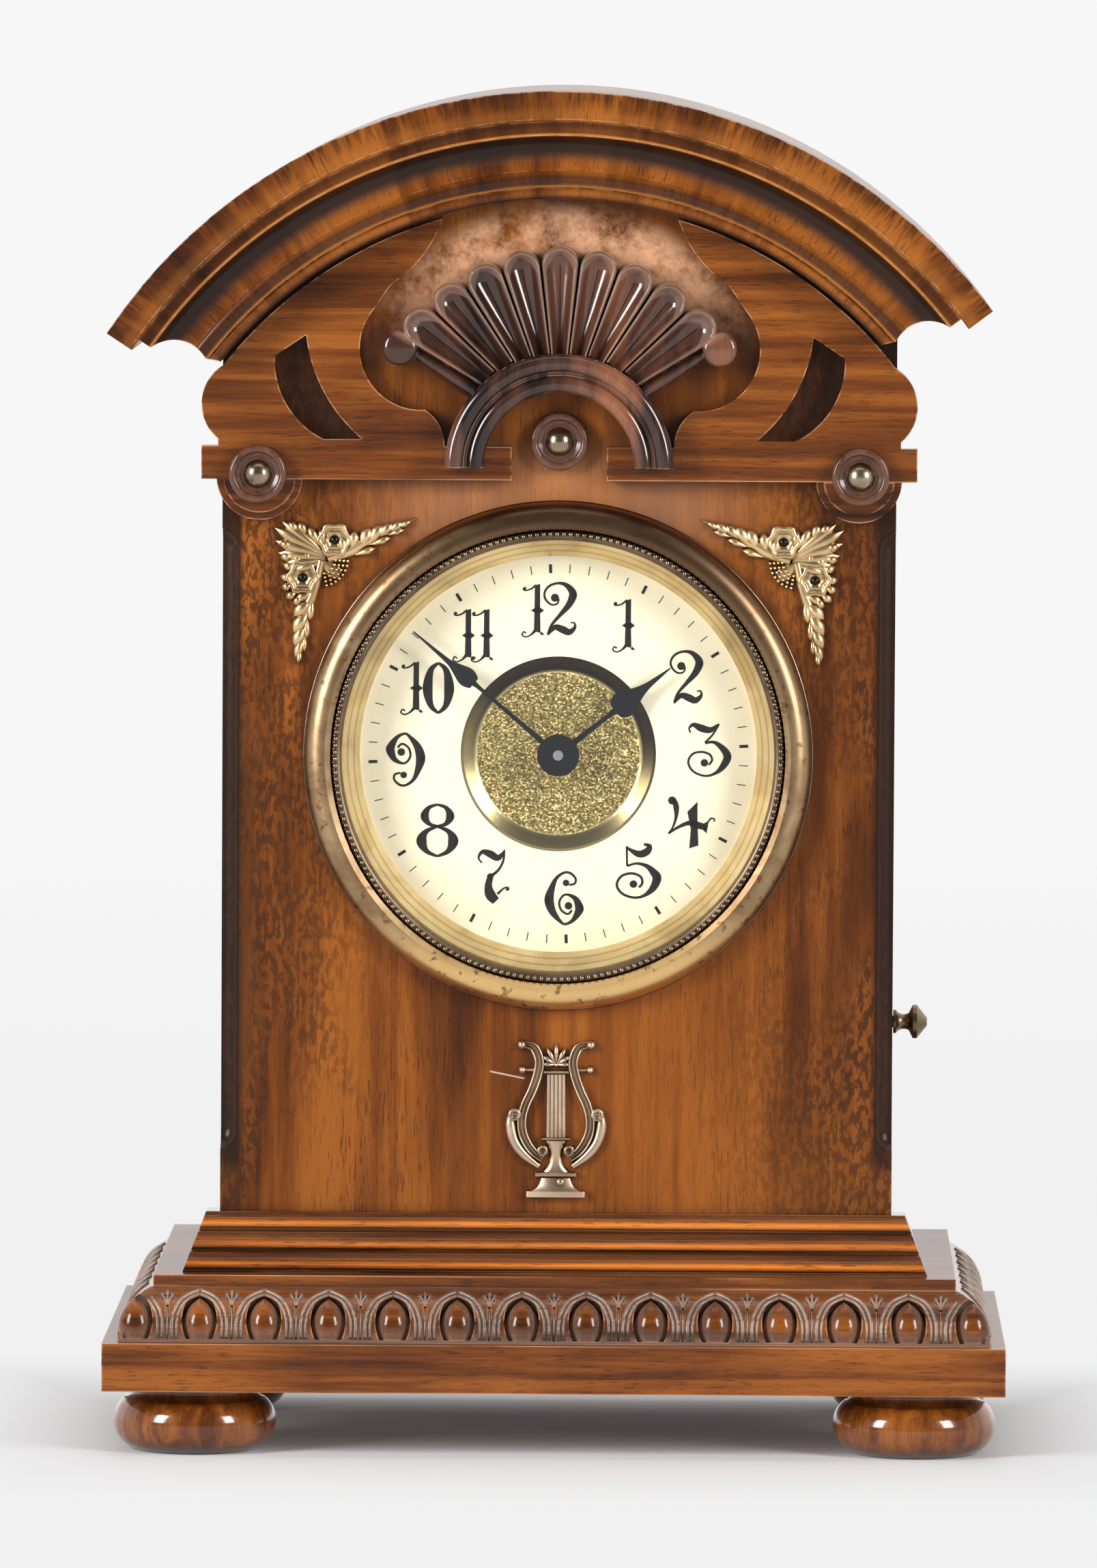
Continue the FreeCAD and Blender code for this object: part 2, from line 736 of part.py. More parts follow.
def lyre_mount():
    """Stamped lyre: foot, scrolled arms, cross bar, strings plate and palmette."""
    low = lyre_low
    half = lyre_half_width
    top = lyre_top
    front = body_front - mount_thickness
    foot = board([(-9.0, low), (9.0, low), (5.0, low + 8.0), (-5.0, low + 8.0)], front, body_front)
    outer = [(0, low + 6.0), (5.0, low + 7.0), ((half, low + 20.0), (9.0, top - 13.0)),
             ((6.5, top - 6.0), (11.5, top - 1.0)), (8.0, top - 0.5), ((3.5, top - 6.0), (6.0, top - 13.0)),
             ((10.8, low + 22.0), (3.6, low + 11.0)), (0, low + 11.0)]
    arm = board(outer, front, body_front)
    strings = board([(-2.8, low + 10.0), (2.8, low + 10.0), (2.8, top - 9.0), (-2.8, top - 9.0)], front,
                    body_front)
    bar = board([(-10.0, top - 11.0), (10.0, top - 11.0), (10.0, top - 8.5), (-10.0, top - 8.5)], front,
                body_front)
    crown = board([(-6.5, top - 8.5), (6.5, top - 8.5), ((0, top), (-6.5, top - 8.5))], front, body_front)
    return fused([foot, arm, mirrored(arm), strings, bar, crown])


def gear(teeth, module, x, z, y0, y1, toward=0.0, gap=False):
    """Spur gear on an axis along the depth. A tooth, or a gap, points in the given direction."""
    pitch = 2 * math.pi / teeth
    reach = module * teeth / 2
    flank = ((reach - 1.15 * module, 0.33), (reach, 0.20), (reach + 0.85 * module, 0.08))
    first = math.radians(toward) + (pitch / 2 if gap else 0.0)
    points = []
    for tooth in range(teeth):
        middle = first + tooth * pitch
        for radius, share in flank:
            points.append((radius, middle - share * pitch))
        for radius, share in reversed(flank):
            points.append((radius, middle + share * pitch))
    outline = [(x + radius * math.cos(angle), z + radius * math.sin(angle)) for radius, angle in points]
    return board(outline, y0, y1)


def crossed(wheel, x, z, hub, rim, arm, y0, y1):
    """Cut four windows in a wheel and leave four arms."""
    ring = rod_y(rim, x, z, y0, y1).cut(rod_y(hub, x, z, y0, y1))
    for turn in (0, 90):
        bar = box(-arm / 2, arm / 2, y0, y1, -rim - 1, rim + 1)
        bar.rotate(V(0, 0, 0), V(0, 1, 0), turn)
        bar.translate(V(x, 0, z))
        ring = ring.cut(bar)
    return wheel.cut(ring)


def at(start, distance, degrees):
    """A point at a distance and direction from another, seen from the front."""
    angle = math.radians(degrees)
    return start[0] + distance * math.cos(angle), start[1] + distance * math.sin(angle)


# Places of the movement's axes
motion_module = 2 * motion_distance / (cannon_teeth + minute_wheel_teeth)
hour_module = 2 * motion_distance / (minute_pinion_teeth + hour_wheel_teeth)
axis_centre = (0.0, dial_height)
axis_minute_wheel = at(axis_centre, motion_distance, 0)
axis_barrel = at(axis_centre, great_module * (great_wheel_teeth + centre_pinion_teeth) / 2, -90)
axis_third = at(axis_centre, centre_module * (centre_wheel_teeth + third_pinion_teeth) / 2, third_direction)
axis_escape = at(axis_third, third_module * (third_wheel_teeth + escape_pinion_teeth) / 2, escape_direction)
axis_balance = (axis_centre[0] + balance_offset_x, axis_centre[1] + balance_offset_z)
lever_run = math.hypot(axis_balance[0] - axis_escape[0], axis_balance[1] - axis_escape[1])
lever_way = math.degrees(math.atan2(axis_balance[1] - axis_escape[1], axis_balance[0] - axis_escape[0]))
lever_pivot_run = 17.0
axis_lever = at(axis_escape, lever_pivot_run, lever_way)
pivot_radius = 1.2
staff_radius = 1.0

# Depths of the movement's wheels
centre_wheel_y = front_plate_back + 4.0
drum_y = front_plate_back + 10.0
third_wheel_y = front_plate_back + 17.0
balance_y = front_plate_back + 20.0
great_wheel_y = drum_y + barrel_drum_length
escape_wheel_y = front_plate_back + 27.0
hairspring_y = front_plate_back + 30.5
minute_wheel_y = front_plate_front - 3.0
hour_wheel_y = front_plate_front - 7.0
nut_front = body_front + 1.1
nut_depth = 1.4
minute_hand_y = nut_front + nut_depth
hour_hand_y = minute_hand_y + 2.0
pipe_inner = arbor_radius + 1.0 + running_clearance
pipe_outer = pipe_inner + 0.85
knob_end = back_plate_back + 12.0
key_start = back_plate_back + 8.0
key_end = key_start + key_share * (door_front - key_start)


def post_places():
    """The four places where the movement is held to the front panel."""
    half = post_spread / 2
    return [(x, dial_height + z) for x in (-half, half) for z in (-post_rise, post_rise)]


def plate(y0, y1, barrel_hole, with_lever):
    """A movement plate with its pivot holes."""
    sheet = box(-plate_width / 2, plate_width / 2, y0, y1, plate_low, plate_high)
    holes = [(axis_centre, arbor_radius), (axis_barrel, barrel_hole), (axis_third, pivot_radius),
             (axis_escape, pivot_radius), (axis_balance, staff_radius)]
    if with_lever:
        holes.append((axis_lever, pivot_radius))
    for axis, radius in holes:
        sheet = sheet.cut(rod_y(radius + running_clearance, axis[0], axis[1], y0 - 1, y1 + 1))
    return sheet


def movement_posts():
    """Posts between the front panel and the movement."""
    return [rod_y(post_diameter / 2, x, z, panel_back, front_plate_front) for x, z in post_places()]


def motion_stud():
    """Stud on the front plate that the minute wheel turns on."""
    return rod_y(pivot_radius, axis_minute_wheel[0], axis_minute_wheel[1], hour_wheel_y - 1.0,
                 front_plate_front)


def pillars():
    """Pillars between the two plates."""
    half = plate_width / 2 - 7
    places = [(x, z) for x in (-half, half) for z in (plate_low + 7, plate_high - 7)]
    return [rod_y(pillar_diameter / 2, x, z, front_plate_back, back_plate_front) for x, z in places]


def centre_arbor():
    """Long arbor that carries the minute hand and the setting knob, with the centre pinion."""
    x, z = axis_centre
    shaft = rod_y(arbor_radius, x, z, nut_front - 0.4, knob_end)
    pinion = gear(centre_pinion_teeth, great_module, x, z, great_wheel_y - 1.5, great_wheel_y + 3.5, -90,
                  True)
    return shaft.fuse(pinion).removeSplitter()


def centre_wheel():
    """Crossed wheel on the centre arbor."""
    x, z = axis_centre
    y0 = centre_wheel_y
    y1 = y0 + wheel_thickness
    wheel = gear(centre_wheel_teeth, centre_module, x, z, y0, y1, third_direction)
    reach = centre_module * centre_wheel_teeth / 2
    wheel = crossed(wheel, x, z, 5.0, reach - 3.5, 2.4, y0, y1)
    return wheel.cut(rod_y(arbor_radius, x, z, y0 - 1, y1 + 1))


def cannon_pinion():
    """Tube with a pinion that carries the minute hand and drives the motion work."""
    x, z = axis_centre
    leaves = gear(cannon_teeth, motion_module, x, z, minute_wheel_y - 0.3, front_plate_front - 0.6)
    tube = rod_y(arbor_radius + 1.0, x, z, minute_hand_y + hand_thickness, front_plate_front - 0.6)
    return leaves.fuse(tube).removeSplitter().cut(rod_y(arbor_radius, x, z, base_front, base_back))


def minute_wheel():
    """Wheel and pinion of the motion work on its stud."""
    x, z = axis_minute_wheel
    y0 = minute_wheel_y
    wheel = gear(minute_wheel_teeth, motion_module, x, z, y0, y0 + wheel_thickness, 180, True)
    pinion = gear(minute_pinion_teeth, hour_module, x, z, hour_wheel_y - 0.5, y0, 180)
    return wheel.fuse(pinion).removeSplitter().cut(
        rod_y(pivot_radius + running_clearance, x, z, base_front, base_back))


def hour_wheel():
    """Wheel on the pipe that carries the hour hand."""
    x, z = axis_centre
    y1 = hour_wheel_y + wheel_thickness
    wheel = gear(hour_wheel_teeth, hour_module, x, z, hour_wheel_y, y1, 0, True)
    pipe = rod_y(pipe_outer, x, z, hour_hand_y, y1)
    return wheel.fuse(pipe).removeSplitter().cut(rod_y(pipe_inner, x, z, base_front, base_back))


def going_barrel():
    """Spring barrel with its great wheel."""
    x, z = axis_barrel
    drum = rod_y(barrel_drum_radius, x, z, drum_y, great_wheel_y)
    wheel = gear(great_wheel_teeth, great_module, x, z, great_wheel_y, great_wheel_y + 2.0, 90)
    return drum.fuse(wheel).removeSplitter().cut(
        rod_y(barrel_arbor_radius + running_clearance, x, z, base_front, base_back))


def butterfly_key(x, z, y0, y1, width):
    """Winding key with a round shank and two wings."""
    length = y1 - y0
    half = width / 2
    neck = barrel_arbor_radius

    def back(share):
        return y1 - share * length

    shank = rod_y(barrel_arbor_radius + 1.8, x, z, y0, back(0.54))
    wings = [(-neck, back(0.69)), (neck, back(0.69)), ((half, back(0.61)), (half * 0.8, back(0.08))),
             ((half * 0.45, back(0.02)), (0, back(0.19))), ((-half * 0.45, back(0.02)), (-half * 0.8, back(0.08))),
             ((-half, back(0.61)), (-neck, back(0.69)))]
    face = Part.Face(wire(wings, lambda u, y: V(x + u, y, z - plate_thickness / 2)))
    return shank.fuse(face.extrude(V(0, 0, plate_thickness))).removeSplitter()


def winding_key():
    """Barrel arbor with the winding key on its end."""
    x, z = axis_barrel
    shaft = rod_y(barrel_arbor_radius, x, z, front_plate_front, key_start + 4.0)
    return shaft.fuse(butterfly_key(x, z, key_start, key_end, key_width)).removeSplitter()


def train_wheel(axis, teeth, module, y0, toward, pinion_teeth, pinion_module, pinion_y, back_toward):
    """Arbor with a crossed wheel and the pinion that drives it."""
    x, z = axis
    y1 = y0 + wheel_thickness
    wheel = gear(teeth, module, x, z, y0, y1, toward)
    wheel = crossed(wheel, x, z, 4.0, module * teeth / 2 - 2.8, 2.0, y0, y1)
    pinion = gear(pinion_teeth, pinion_module, x, z, pinion_y, pinion_y + 4.0, back_toward, True)
    shaft = rod_y(pivot_radius, x, z, front_plate_front, back_plate_back)
    return shaft.fuse([wheel, pinion]).removeSplitter()


def third_wheel():
    """Third wheel of the going train."""
    return train_wheel(axis_third, third_wheel_teeth, third_module, third_wheel_y, escape_direction,
                       third_pinion_teeth, centre_module, centre_wheel_y - 1.2, third_direction + 180)


def escape_wheel():
    """Escape wheel with pointed teeth, and its pinion."""
    x, z = axis_escape
    y0 = escape_wheel_y
    pitch = 360.0 / escape_wheel_teeth
    points = []
    for tooth in range(escape_wheel_teeth):
        points.append(at((x, z), escape_wheel_radius, tooth * pitch))
        points.append(at((x, z), escape_wheel_radius - 2.6, tooth * pitch + 3.0))
        points.append(at((x, z), escape_wheel_radius - 2.6, tooth * pitch + pitch * 0.7))
    wheel = board(points, y0, y0 + wheel_thickness)
    wheel = crossed(wheel, x, z, 3.2, escape_wheel_radius - 4.2, 1.6, y0, y0 + wheel_thickness)
    pinion = gear(escape_pinion_teeth, third_module, x, z, third_wheel_y - 1.2, third_wheel_y + 2.8,
                  escape_direction + 180, True)
    shaft = rod_y(pivot_radius, x, z, front_plate_front, back_plate_back)
    return shaft.fuse([wheel, pinion]).removeSplitter()


def pallet_lever():
    """Lever with two pallet pins and a fork, drawn along the line from escape wheel to balance."""
    y0 = escape_wheel_y
    y1 = y0 + wheel_thickness
    run = lever_pivot_run
    pin = (10.2, 8.0)
    fork = lever_run - 3.0
    outline = [(run - 1.2, -1.4), (pin[0] - 0.6, -pin[1] - 0.4), (pin[0] + 0.8, -pin[1] - 1.0),
               (run + 1.4, -1.6),
               (fork, -0.9), (fork, 0.9), (run + 1.4, 1.6), (pin[0] + 0.8, pin[1] + 1.0),
               (pin[0] - 0.6, pin[1] + 0.4), (run - 1.2, 1.4)]
    way = math.radians(lever_way)

    def place(along, across):
        return (axis_escape[0] + along * math.cos(way) - across * math.sin(way),
                axis_escape[1] + along * math.sin(way) + across * math.cos(way))

    lever = board([place(*point) for point in outline], y0, y1)
    shaft = rod_y(pivot_radius, axis_lever[0], axis_lever[1], y0 - 1.0, back_plate_back)
    return lever.fuse(shaft).removeSplitter()


def balance_wheel():
    """Balance with a plain rim, two arms, a roller and its staff."""
    x, z = axis_balance
    y1 = balance_y + 3.0
    rim = rod_y(balance_radius, x, z, balance_y, y1).cut(rod_y(balance_radius - 2.4, x, z, balance_y, y1))
    arm = box(x - balance_radius + 1, x + balance_radius - 1, balance_y + 0.7, y1 - 0.7, z - 1.2, z + 1.2)
    roller = rod_y(2.5, x, z, escape_wheel_y, escape_wheel_y + wheel_thickness)
    staff = rod_y(staff_radius, x, z, front_plate_front, back_plate_back)
    return rim.fuse([arm, roller, staff]).removeSplitter()


def hairspring():
    """Flat spiral spring round the balance staff, pinned to a stud on the back plate."""
    x, z = axis_balance
    turns = 5
    start = staff_radius + 0.6
    step = 0.9
    strip = 0.3
    outer = []
    inner = []
    for index in range(2 * turns):
        side = 1 if index % 2 == 0 else -1
        radius = start + step * index / 2
        shift = side * step / 4
        next_radius = radius + step / 2
        mean = (radius + next_radius) / 2
        outer.append(((x - shift * 1.0, z + side * (mean + strip)), (x - side * (next_radius + strip), z)))
        inner.append(((x - shift * 1.0, z + side * mean), (x - side * next_radius, z)))
    first_outer = (x + start + strip, z)
    first_inner = (x + start, z)
    back = []
    for index in range(2 * turns - 1, -1, -1):
        end = inner[index - 1][1] if index > 0 else first_inner
        back.append((inner[index][0], end))
    outline = [first_outer] + outer + [inner[-1][1]] + back
    spring = board(outline, hairspring_y, hairspring_y + 0.8)
    end_x = inner[-1][1][0]
    stud = box(end_x - strip, end_x + 1.0, hairspring_y, back_plate_front, z - 0.8, z + 0.8)
    return spring.fuse(stud).removeSplitter()


def set_knob():
    """Milled knob on the back end of the centre arbor."""
    x, z = axis_centre
    y0 = knob_end - 8.0
    knob = rod_y(set_knob_radius, x, z, y0, knob_end)
    return knob.cut(rod_y(arbor_radius, x, z, y0 - 1, knob_end + 1))


# Places of the music work
bed_top = step_high + bed_thickness
music_height = step_high + music_rise
music_barrel_x = -27.0
cylinder_x = music_barrel_x + music_module * (music_great_teeth + music_pinion_teeth) / 2
governor_x = cylinder_x + governor_module * (governor_wheel_teeth + governor_pinion_teeth) / 2
music_front = panel_back + 2.5
upright_thickness = 2.0
fly_bay = 14.0
middle_upright = music_front + upright_thickness + fly_bay
cylinder_front = middle_upright + upright_thickness + 1.0
music_key_end = door_front - key_clearance
rear_upright_back = music_key_end - music_key_length - 1.0
rear_upright = rear_upright_back - upright_thickness
cylinder_back = rear_upright - 5.0
bed_half = 70.0
music_drum_radius = 16.0
music_wheel_y = cylinder_back + 1.0


def music_bed():
    """Cast bed with three uprights that carry the arbors."""
    bed = box(-bed_half, bed_half, music_front, rear_upright_back + 3.0, step_high, bed_top)
    low = music_barrel_x - 14
    high = governor_x + 12
    pieces = [bed]
    for y0 in (music_front, middle_upright, rear_upright):
        pieces.append(box(low, high, y0, y0 + upright_thickness, bed_top, music_height + 10))
    casting = fused(pieces)
    bores = [(music_barrel_x, barrel_arbor_radius, middle_upright - 1, rear_upright_back + 1),
             (cylinder_x, arbor_radius, music_front - 1, rear_upright_back + 1),
             (governor_x, pivot_radius, music_front - 1, middle_upright + upright_thickness + 1)]
    for x, radius, y0, y1 in bores:
        casting = casting.cut(rod_y(radius + running_clearance, x, music_height, y0, y1))
    return casting


def music_barrel():
    """Spring barrel of the music work with its great wheel."""
    drum = rod_y(music_drum_radius, music_barrel_x, music_height, cylinder_front, music_wheel_y)
    wheel = gear(music_great_teeth, music_module, music_barrel_x, music_height, music_wheel_y,
                 music_wheel_y + 2.0, 0)
    return drum.fuse(wheel).removeSplitter().cut(
        rod_y(barrel_arbor_radius + running_clearance, music_barrel_x, music_height, base_front, base_back))


def music_key():
    """Barrel arbor of the music work with its winding key."""
    shaft = rod_y(barrel_arbor_radius, music_barrel_x, music_height, middle_upright, rear_upright_back + 4.0)
    key = butterfly_key(music_barrel_x, music_height, rear_upright_back + 1.0, music_key_end,
                        key_width * 0.8)
    return shaft.fuse(key).removeSplitter()


def music_cylinder():
    """Cylinder on its arbor, with the pinion at the back and the governor wheel at the front."""
    drum = rod_y(cylinder_radius, cylinder_x, music_height, cylinder_front, cylinder_back)
    pinion = gear(music_pinion_teeth, music_module, cylinder_x, music_height, cylinder_back,
                  music_wheel_y + 2.6, 180, True)
    wheel_y = music_front + upright_thickness + 1.5
    wheel = gear(governor_wheel_teeth, governor_module, cylinder_x, music_height, wheel_y,
                 wheel_y + wheel_thickness, 0)
    shaft = rod_y(arbor_radius, cylinder_x, music_height, music_front, rear_upright_back)
    return shaft.fuse([drum, pinion, wheel]).removeSplitter()


def governor():
    """Air brake: pinion and two vanes on a fine arbor."""
    wheel_y = music_front + upright_thickness + 1.5
    pinion = gear(governor_pinion_teeth, governor_module, governor_x, music_height, wheel_y - 0.5,
                  wheel_y + 2.2, 180, True)
    fly_y = wheel_y + 4.0
    vanes = box(governor_x - 10, governor_x + 10, fly_y, fly_y + 5.0, music_height - 0.5, music_height + 0.5)
    shaft = rod_y(pivot_radius, governor_x, music_height, music_front, middle_upright + upright_thickness)
    return shaft.fuse([pinion, vanes]).removeSplitter()


def music_comb():
    """Steel comb on its block, with tooth tips just short of the cylinder."""
    tip = cylinder_x + cylinder_radius + comb_gap
    root = tip + 14.0
    end = root + 10.0
    low = music_height
    plate_body = box(tip, end, cylinder_front + 1, cylinder_back - 1, low, low + 1.6)
    pitch = (cylinder_back - cylinder_front - 2) / comb_teeth
    slits = [box(tip - 1, root, y - 0.2, y + 0.2, low - 1, low + 3)
             for y in (cylinder_front + 1 + pitch * index for index in range(1, comb_teeth))]
    plate_body = plate_body.cut(slits)
    block = box(root + 1.0, end, cylinder_front + 1, cylinder_back - 1, bed_top, low)
    return plate_body.fuse(block).removeSplitter()


def pull_knob():
    """Side knob with a conical cap, a waisted neck and a rod with a stop collar."""
    face = body_half
    inner = 62.0
    collar = face - side_thickness - knob_travel - 2.5
    rod = knob_rod_radius
    points = [(0, inner), (rod, inner), (rod, collar), (rod + 2.2, collar), (rod + 2.2, collar + 1.5),
              (rod, collar + 1.5),
              (rod, face + 0.6), (3.5, face + 0.6), (3.5, face + 1.4), ((2.2, face + 3.4), (2.6, face + 5.2)),
              (knob_radius, face + 6.4), (knob_radius, face + 7.6), (1.2, face + knob_reach), (0, face + knob_reach)]
    return turned_x(points, knob_depth, knob_height)


def back_door():
    """Door board between the side panels."""
    half = body_half - side_thickness - door_gap
    return box(-half, half, door_front, body_back, step_high + door_low_gap, door_top - door_gap)


hinge_x = -(body_half - side_thickness) + door_gap / 2
hinge_y = body_back + hinge_radius
hinge_heights = (step_high + hinge_inset, door_top - hinge_inset - hinge_length)


def hinge_parts():
    """Two hinges: fixed leaves with the outer knuckles and pins, and door leaves with the middle knuckle."""
    fixed = []
    moving = []
    third = hinge_length / 3
    for low in hinge_heights:
        leaf = box(-body_half + 0.5, hinge_x - 0.3, body_back, body_back + leaf_thickness, low,
                   low + hinge_length)
        pin = Part.makeCylinder(hinge_pin_radius, hinge_length, V(hinge_x, hinge_y, low))
        ends = [Part.makeCylinder(hinge_radius, third, V(hinge_x, hinge_y, low)),
                Part.makeCylinder(hinge_radius, third, V(hinge_x, hinge_y, low + 2 * third))]
        room = Part.makeCylinder(hinge_radius + 0.3, third, V(hinge_x, hinge_y, low + third))
        fixed.append(leaf.fuse(ends).cut(room).fuse(pin).removeSplitter())
        door_leaf = box(hinge_x + 0.3, hinge_x + leaf_width, body_back, body_back + leaf_thickness,
                        low, low + hinge_length)
        for z in (low, low + 2 * third):
            door_leaf = door_leaf.cut(Part.makeCylinder(hinge_radius + 0.3, third + 0.1, V(hinge_x, hinge_y, z - 0.05)))
        knuckle = Part.makeCylinder(hinge_radius, third - 0.2, V(hinge_x, hinge_y, low + third + 0.1))
        hole = Part.makeCylinder(hinge_pin_radius + running_clearance, hinge_length, V(hinge_x, hinge_y, low))
        moving.append(door_leaf.fuse(knuckle).cut(hole).removeSplitter())
    return fixed, moving


def turn_button():
    """Brass turn button on the door that reaches over the side panel."""
    reach = body_half - button_x - 1.0
    plate_shape = board([(button_x - reach, button_height - 3.5), (button_x + reach, button_height - 3.5),
                         ((button_x + reach + 1.5, button_height), (button_x + reach, button_height + 3.5)),
                         (button_x - reach, button_height + 3.5),
                         ((button_x - reach - 1.5, button_height), (button_x - reach, button_height - 3.5))],
                        body_back + 0.1, body_back + 2.1)
    return plate_shape.fuse(rod_y(3.0, button_x, button_height, body_back + 0.1,
                                  body_back + 4.0)).removeSplitter()


def build():
    """Make every piece and write it."""
    os.makedirs("parts", exist_ok=True)
    save("bun_feet", feet())
    save("plinth_board", box(-plinth_half, plinth_half, base_front, base_back, plinth_low, plinth_high))
    egg_front, egg_left, egg_right = egg_mouldings()
    save("egg_moulding_front", egg_front)
    save("egg_moulding_left", egg_left)
    save("egg_moulding_right", egg_right)
    save("step_board", box(-step_half, step_half, base_front + step_inset, base_back, step_low, step_high))
    save("reeded_moulding", reeded_moulding())
    save("front_panel", front_panel())
    hole = rod_x(knob_rod_radius + running_clearance, knob_depth, knob_height, 0, far)
    save("side_panel_right", side_panel().cut(hole))
    save("side_panel_left", mirrored(side_panel()))
    save("upper_back_board", upper_back())
    save("roof_board", roof_board())
    save("arch_moulding", arch_moulding())
    save("fret_left", fret_board())
    save("fret_right", mirrored(fret_board()))
    save("shell_fan", fan_shell())
    save("shell_ring", half_ring())
    save("rosettes", [rosette(*place) for place in rosette_places()])
    save("rosette_domes", [dome(*place) for place in rosette_places()])
    save("corbels", corbels())
    save("corner_mount_left", corner_mount())
    save("corner_mount_right", mirrored(corner_mount()))
    save("lyre_mount", lyre_mount())
    save("bezel_ring", bezel())
    save("bead_ring", bead_ring())
    save("dial_glass", glass())
    save("sight_ring", sight_ring())
    save("dial_plate", dial_plate())
    save("dial_dish", dial_dish())
    save("minute_hand", hand(minute_hand_length, 36.0, 7.4, 4.6, arbor_radius, minute_hand_angle,
                             minute_hand_y))
    save("hour_hand", hand(hour_hand_length, 25.5, 8.4, 5.6, pipe_outer, hour_hand_angle, hour_hand_y))
    nut = rod_y(nut_radius, 0, dial_height, nut_front, minute_hand_y)
    save("hand_nut", nut.cut(rod_y(arbor_radius, 0, dial_height, base_front, base_back)))
    front = plate(front_plate_front, front_plate_back, barrel_arbor_radius, False)
    save("front_plate", front.fuse(motion_stud()).removeSplitter())
    save("back_plate", plate(back_plate_front, back_plate_back, barrel_arbor_radius, True))
    save("plate_pillars", pillars())
    save("movement_posts", movement_posts())
    save("centre_arbor", centre_arbor())
    save("centre_wheel", centre_wheel())
    save("cannon_pinion", cannon_pinion())
    save("minute_wheel", minute_wheel())
    save("hour_wheel", hour_wheel())
    save("going_barrel", going_barrel())
    save("winding_key", winding_key())
    save("third_wheel", third_wheel())
    save("escape_wheel", escape_wheel())
    save("pallet_lever", pallet_lever())
    save("balance_wheel", balance_wheel())
    save("hairspring", hairspring())
    save("set_knob", set_knob())
    save("music_bed", music_bed())
    save("music_barrel", music_barrel())
    save("music_key", music_key())
    save("music_cylinder", music_cylinder())
    save("music_governor", governor())
    save("music_comb", music_comb())
    save("pull_knob", pull_knob())
    save("back_door", back_door())
    fixed, moving = hinge_parts()
    save("hinge_leaves", fixed)
    save("door_leaves", moving)
    save("turn_button", turn_button())


build()
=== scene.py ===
"""Looks of the walnut mantel clock: finishes, carving, dial printing and the studio around it."""
import math

import bmesh
import bpy
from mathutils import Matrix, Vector


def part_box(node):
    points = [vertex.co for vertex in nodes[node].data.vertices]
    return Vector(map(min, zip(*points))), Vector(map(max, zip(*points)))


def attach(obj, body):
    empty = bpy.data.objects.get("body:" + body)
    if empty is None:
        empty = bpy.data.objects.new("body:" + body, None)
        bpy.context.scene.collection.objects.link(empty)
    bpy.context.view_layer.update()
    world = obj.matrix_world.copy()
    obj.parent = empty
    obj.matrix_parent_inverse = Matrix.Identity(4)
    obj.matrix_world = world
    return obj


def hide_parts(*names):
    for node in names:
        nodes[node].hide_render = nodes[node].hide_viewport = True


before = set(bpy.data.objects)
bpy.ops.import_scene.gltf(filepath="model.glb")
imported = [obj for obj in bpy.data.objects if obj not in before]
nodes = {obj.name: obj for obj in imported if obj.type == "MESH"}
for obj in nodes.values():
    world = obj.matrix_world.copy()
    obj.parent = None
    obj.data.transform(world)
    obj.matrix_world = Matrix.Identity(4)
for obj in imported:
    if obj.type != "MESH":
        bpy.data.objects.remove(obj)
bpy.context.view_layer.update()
MM = 0.001

# Places read from the frame
bezel_low, bezel_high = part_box("bezel_ring")
panel_low, panel_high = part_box("front_panel")
_, roof_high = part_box("roof_board")
dial_x = (bezel_low.x + bezel_high.x) / 2
dial_z = (bezel_low.z + bezel_high.z) / 2
panel_face = panel_low.y
ARCH_RADIUS = 157.9 * MM
arch_z = roof_high.z - ARCH_RADIUS

# Carving
REED_COUNT = 3
EGG_COUNT = 14
SIDE_EGG_COUNT = 7
EGG_OUT = 5.0 * MM
FAN_PITCH = math.radians(13.2)
FAN_RING = 33.5 * MM
FAN_RISE = 10.3 * MM

# Dial printing
FIGURE_UNIT = 0.0753 * MM
PRINT_RISE = 0.06 * MM
PEN_LEAST = 2.5
PEN_SPREAD = 2.8
MARKS_TURN = -2.7
MARK_INNER = 53.4 * MM
MARK_OUTER = 56.0 * MM
MARK_HALF = 0.13 * MM
HOUR_MARK_HALF = 0.45 * MM

# Scratch left of the lyre
SCRATCH_HEIGHT = 0.1073
SCRATCH_SLOPE = -0.20
SCRATCH = (0.62, 0.52, 0.46)

# Studio light
FILL = 0.17
BACKDROP = 0.93
FLOOR_GLOW = 0.875
FLOOR_HALF = 9.0
LAMP_AIM = (0.0, 0.0, 0.20)

# Camera
LENS = 296.0
SENSOR = 36.0
FAR_LIMIT = 60.0
STAND = (0.047, -3.83, 0.452)
AIM = (-0.0023, -0.08, 0.1984)
ROLL = math.radians(0.3)

# Wood tones
# Painted highlight colour on the arch moulding
WALNUT_HIGHLIGHT = (0.500, 0.190, 0.040)
WALNUT_LIGHT = (0.330, 0.098, 0.0130)
WALNUT_MID = (0.152, 0.0385, 0.0045)
WALNUT_DARK = (0.034, 0.0090, 0.0022)
STAIN_LIGHT = (0.300, 0.110, 0.052)
STAIN_MID = (0.135, 0.050, 0.030)
STAIN_DARK = (0.014, 0.0075, 0.006)
# Painted shade: the near-black laid in grooves, slots, the arch's cove and the hollow chamfers
PAINTED_SHADE = (0.012, 0.006, 0.0045)
# Pale wax colour, also used as painted sheen on the petal rims of the fan and on the egg rims
WAX_AND_SHEEN = (0.265, 0.168, 0.122)
RIM_LIGHT = (0.440, 0.270, 0.185)
RIM_DARK = (0.050, 0.024, 0.014)
TURNED_LIGHT = (0.150, 0.078, 0.046)
PORE = (0.016, 0.0065, 0.004)
WORN = (0.82, 0.44, 0.25)


